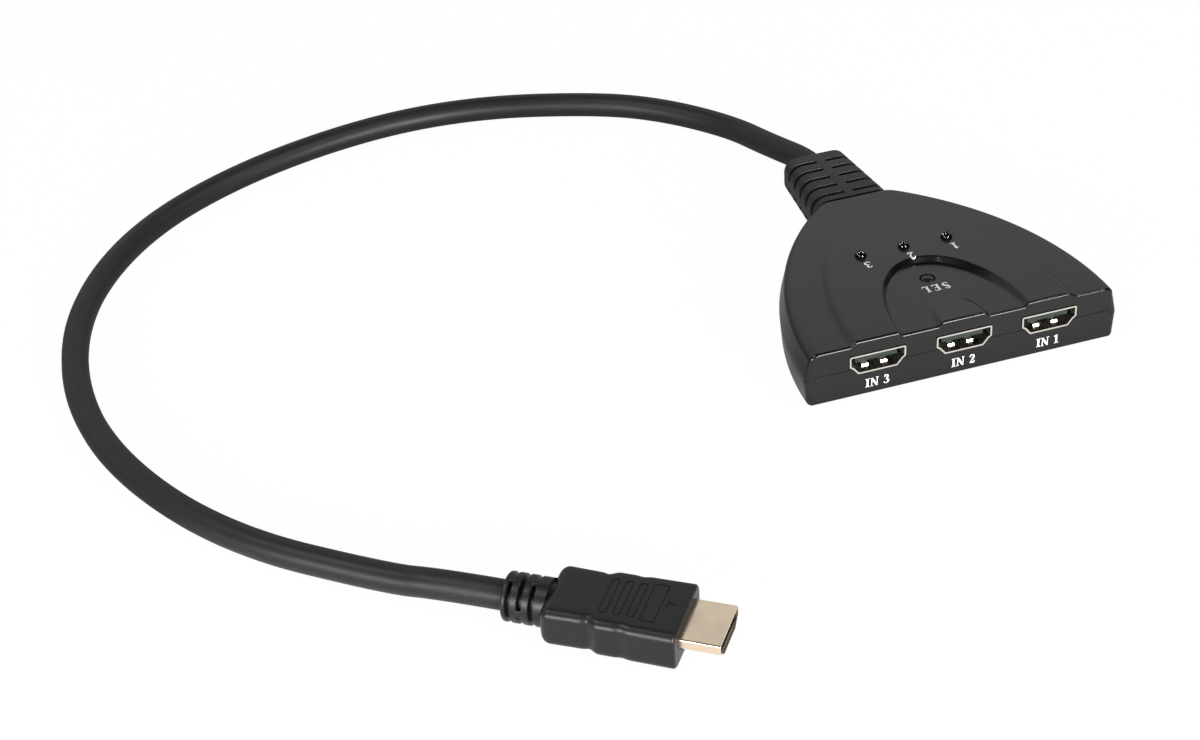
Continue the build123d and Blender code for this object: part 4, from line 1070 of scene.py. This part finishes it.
def plated(name, colour, tarnish, roughness):
    """A plated or pressed metal: its colour drifts towards a tarnish, with faint rolling marks."""
    material, place, _ = finish(name, roughness, 180.0, {"Metallic": 1.0})
    tree = material.node_tree
    surface(tree, colour, tarnish, noise_node(tree, place, 260.0, 3), noise_node(tree, place, 900.0, 2), 2e-6)
    return material


def make_camera():
    """The photograph's viewpoint: azimuth, elevation, roll and distance about a target point."""
    a, e, r = (math.radians(v) for v in (CAMERA_AZIMUTH, CAMERA_ELEVATION, CAMERA_ROLL))
    turns = Matrix.Rotation(a, 3, "Z") @ Matrix.Rotation(math.pi / 2 - e, 3, "X") @ Matrix.Rotation(r, 3, "Z")
    data = bpy.data.cameras.new("camera")
    data.sensor_fit = "HORIZONTAL"
    data.sensor_width = SENSOR_WIDTH
    data.lens = FOCAL_PIXELS / IMAGE_WIDTH * SENSOR_WIDTH
    data.clip_start = 0.01
    data.clip_end = 20
    camera = new_object("camera", data)
    place = Vector(put([CAMERA_TARGET])[0]) + turns.col[2] * CAMERA_DISTANCE * MM
    camera.matrix_world = Matrix.Translation(place) @ turns.to_4x4()
    bpy.context.scene.camera = camera


def seen_in_gloss(tree):
    """1 for rays from the camera, and 1 for those and for glossy and see-through rays, else 0."""
    path = shader_node(tree, "LightPath", {})
    seen = math_node(tree, "MAXIMUM", path["Is Camera Ray"], path["Is Glossy Ray"])
    return path["Is Camera Ray"], math_node(tree, "MAXIMUM", seen, path["Is Transmission Ray"])


def split_place(tree, kind):
    """X, Y and Z of the coordinates of a kind."""
    return shader_node(tree, "SeparateXYZ", {0: shader_node(tree, "TexCoord", {})[kind]})


def make_world():
    """A white surround. Gloss sees a white wall that stands high behind the object and low in front
    of it, under a dark ceiling; the camera sees white, and other rays get a plain soft level."""
    world = bpy.data.worlds.new("surround")
    bpy.context.scene.world = world
    world.use_nodes = True
    tree = world.node_tree
    tree.nodes.clear()
    camera, seen = seen_in_gloss(tree)
    parts = split_place(tree, "Generated")
    edge = ranged(tree, parts["Y"], *WALL_EDGE)
    above = math_node(tree, "SUBTRACT", parts["Z"], edge)
    wall = ranged(tree, parts["Z"], *WALL_TONES)
    wall = math_node(tree, "MULTIPLY", wall, ranged(tree, above, -WALL_BLUR, WALL_BLUR, 1.0, 0.0))
    gloss = mix_node(tree, "FLOAT", camera, math_node(tree, "MAXIMUM", wall, ROOM_DARK), 1.0)
    strength = mix_node(tree, "FLOAT", seen, SURROUND_LEVEL, gloss)
    light = shader_node(tree, "Background", {"Color": (1, 1, 1, 1), "Strength": strength})["Background"]
    shader_node(tree, "OutputWorld", {"Surface": light})


def make_floor():
    """A pale sheet of paper that takes a shadow. The camera sees it nearly white, and gloss sees it
    white in front of the sockets and dim behind them: that dimming is painted shade in the floor's glow."""
    mesh = bpy.data.meshes.new("floor")
    corners = [(x * FLOOR_REACH, y * FLOOR_REACH, 0) for x, y in ((-1, -1), (1, -1), (1, 1), (-1, 1))]
    mesh.from_pydata(corners, [], [(0, 1, 2, 3)])
    floor = new_object("floor", mesh)
    material = bpy.data.materials.new("floor_paper")
    material.use_nodes = True
    tree = material.node_tree
    tree.nodes.clear()
    camera, seen = seen_in_gloss(tree)
    paper = shader_node(tree, "BsdfDiffuse", {"Color": (0.9, 0.9, 0.9, 1)})[0]
    # Painted shade: the glow that gloss sees falls from white in front of the sockets to dim behind them,
    # standing in for shade on the floor there
    gloss = ranged(tree, split_place(tree, "Object")["Y"], *FLOOR_GLOSS_PAINTED_SHADE)
    glow = shader_node(tree, "Emission", {"Strength": math_node(tree, "MAXIMUM", camera, gloss)})[0]
    share = math_node(tree, "SUBTRACT", seen, math_node(tree, "MULTIPLY", camera, 1 - CAMERA_GLOW))
    mixed = shader_node(tree, "MixShader", {0: share, 1: paper, 2: glow})[0]
    shader_node(tree, "OutputMaterial", {"Surface": mixed})
    mesh.materials.append(material)


def make_studio():
    """Plain studio light: the surround, a pale floor, two small boxes above, two strips in front and
    a small lamp in front."""
    bpy.context.scene.view_settings.view_transform = "Standard"
    make_world()
    make_floor()
    for name, towards, width, depth, power in SOFT_BOXES:
        data = bpy.data.lights.new(name, "AREA")
        data.shape = "RECTANGLE"
        data.size = width
        data.size_y = depth
        data.energy = power
        lamp = new_object(name, data)
        direction = Vector(towards).normalized()
        lamp.location = Vector(BOX_AIM) + direction * BOX_DISTANCE
        lamp.rotation_euler = (-direction).to_track_quat("-Z", "Y").to_euler()


def make_lead(material):
    """The free lead: a NURBS curve on the route's points with a round bevel."""
    last = [(along, 0.0, PLUG_AXIS_HEIGHT) for along in (-RELIEF_LENGTH - LAST_RUN, -RELIEF_LENGTH)]
    points = put([*CORD_ROUTE, *plug_points(np.array(last))])
    data = bpy.data.curves.new("lead", "CURVE")
    data.dimensions = "3D"
    data.bevel_depth = LEAD_DIAMETER / 2 * MM
    data.bevel_resolution = 6
    data.resolution_u = 24
    spline = data.splines.new("NURBS")
    spline.points.add(len(points) - 1)
    spline.points.foreach_set("co", np.column_stack([points, np.ones(len(points))]).ravel())
    spline.order_u = 3
    spline.use_endpoint_u = True
    spline.use_smooth = True
    lead = new_object("lead", data)
    data.materials.append(material)
    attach(lead, "root")
    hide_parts("cable")


GRAIN = make_grain_group()
HANDLING = make_handling_group()

# Moulded: colour or grey, the same when dusty, roughness limits, grains per metre, their depth, gloss
MOULDED = {
    "black_housing": ((0.002, 0.002, 0.0021), 0.009, (0.17, 0.22), 5200.0, 8.0e-7),
    "soft_jacket": ((0.009, 0.009, 0.0092), 0.03, (0.42, 0.5), 3000.0, 6e-6, 0.36),
    "boot_moulding": ((0.007, 0.007, 0.0072), 0.03, (0.36, 0.44), 3600.0, 4e-6, 0.38),
    "grip_moulding": ((0.006, 0.006, 0.0062), 0.03, (0.34, 0.42), 2400.0, 1.2e-5, 0.4),
    "button_plastic": ((0.006, 0.006, 0.0062), 0.02, (0.2, 0.26), 5200.0, 1.2e-6),
    "connector_black": (0.012, 0.03, (0.3, 0.38), 4000.0, 2e-6),
    "socket_plastic": ((0.012, 0.02, 0.017), (0.03, 0.04, 0.035), (0.3, 0.38), 4000.0, 2e-6),
    "grey_ink": (0.6, 0.54, (0.4, 0.5), 4000.0, 1e-6),
    "white_ink": (0.86, 0.8, (0.4, 0.5), 4000.0, 1e-6),
    "board_green": ((0.02, 0.16, 0.07), (0.05, 0.18, 0.1), (0.3, 0.4), 2000.0, 2e-6),
    "chip_black": ((0.03, 0.03, 0.032), 0.05, (0.5, 0.6), 3000.0, 3e-6),
    "ceramic_tan": ((0.45, 0.33, 0.2), (0.5, 0.4, 0.3), (0.4, 0.5), 3000.0, 2e-6),
    "inner_white": ((0.5, 0.5, 0.48), (0.55, 0.55, 0.53), (0.4, 0.5), 3000.0, 2e-6),
    "wire_red": ((0.45, 0.12, 0.1), (0.5, 0.2, 0.18), (0.4, 0.5), 3000.0, 2e-6),
}
# Plated: colour or grey, tarnish, roughness limits
PLATED = {
    "socket_steel_bright": ((0.86, 0.82, 0.76), (0.78, 0.72, 0.64), (0.16, 0.24)),
    "plug_gold_pale": ((0.95, 0.79, 0.61), (0.92, 0.74, 0.55), (0.2, 0.28)),
    "contact_metal": ((0.85, 0.8, 0.72), (0.8, 0.7, 0.5), (0.2, 0.3)),
    "tinned": (0.7, 0.6, (0.3, 0.4)),
    "screw_dark": ((0.2, 0.2, 0.21), (0.14, 0.14, 0.15), (0.35, 0.45)),
}
RESIN = {"Base Color": (0.3, 0.3, 0.305, 1), "Transmission Weight": 1.0, "IOR": 1.5}
finishes = {name: moulded(name, *values) for name, values in MOULDED.items()}
finishes.update({name: plated(name, *values) for name, values in PLATED.items()})
lamp_clear, _, _ = finish("lamp_resin_clear", (0.1, 0.14), 400.0, RESIN)

# The finish of a carried-over node is the first whose word is in its name
NODE_FINISHES = (
    ("plug_shell", "plug_gold_pale"), ("plug_insulator", "connector_black"), ("contacts", "contact_metal"),
    ("shell", "socket_steel_bright"), ("insulator", "socket_plastic"), ("circuit_board", "board_green"),
    ("legs", "tinned"), ("led_leads", "tinned"), ("cover", "tinned"), ("chip_", "ceramic_tan"),
    ("_chip", "chip_black"), ("tact_switch", "chip_black"), ("plug_inner_mould", "inner_white"),
    ("wires", "wire_red"), ("tail", "soft_jacket"), ("screws", "screw_dark"), ("", "black_housing"),
)
for name, node in nodes.items():
    chosen = next(used for word, used in NODE_FINISHES if word in name)
    node.data.materials.clear()
    node.data.materials.append(finishes[chosen])

make_camera()
make_studio()
make_top_cover(finishes["black_housing"])
make_bottom_cover(finishes["black_housing"])
make_boot(finishes["boot_moulding"])
make_lamps(lamp_clear)
make_button(finishes["button_plastic"])
make_print(finishes["white_ink"], finishes["grey_ink"])
grip = make_grip(finishes["grip_moulding"])
relief = make_relief(finishes["grip_moulding"])
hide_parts("plug_overmould")
make_lead(finishes["soft_jacket"])
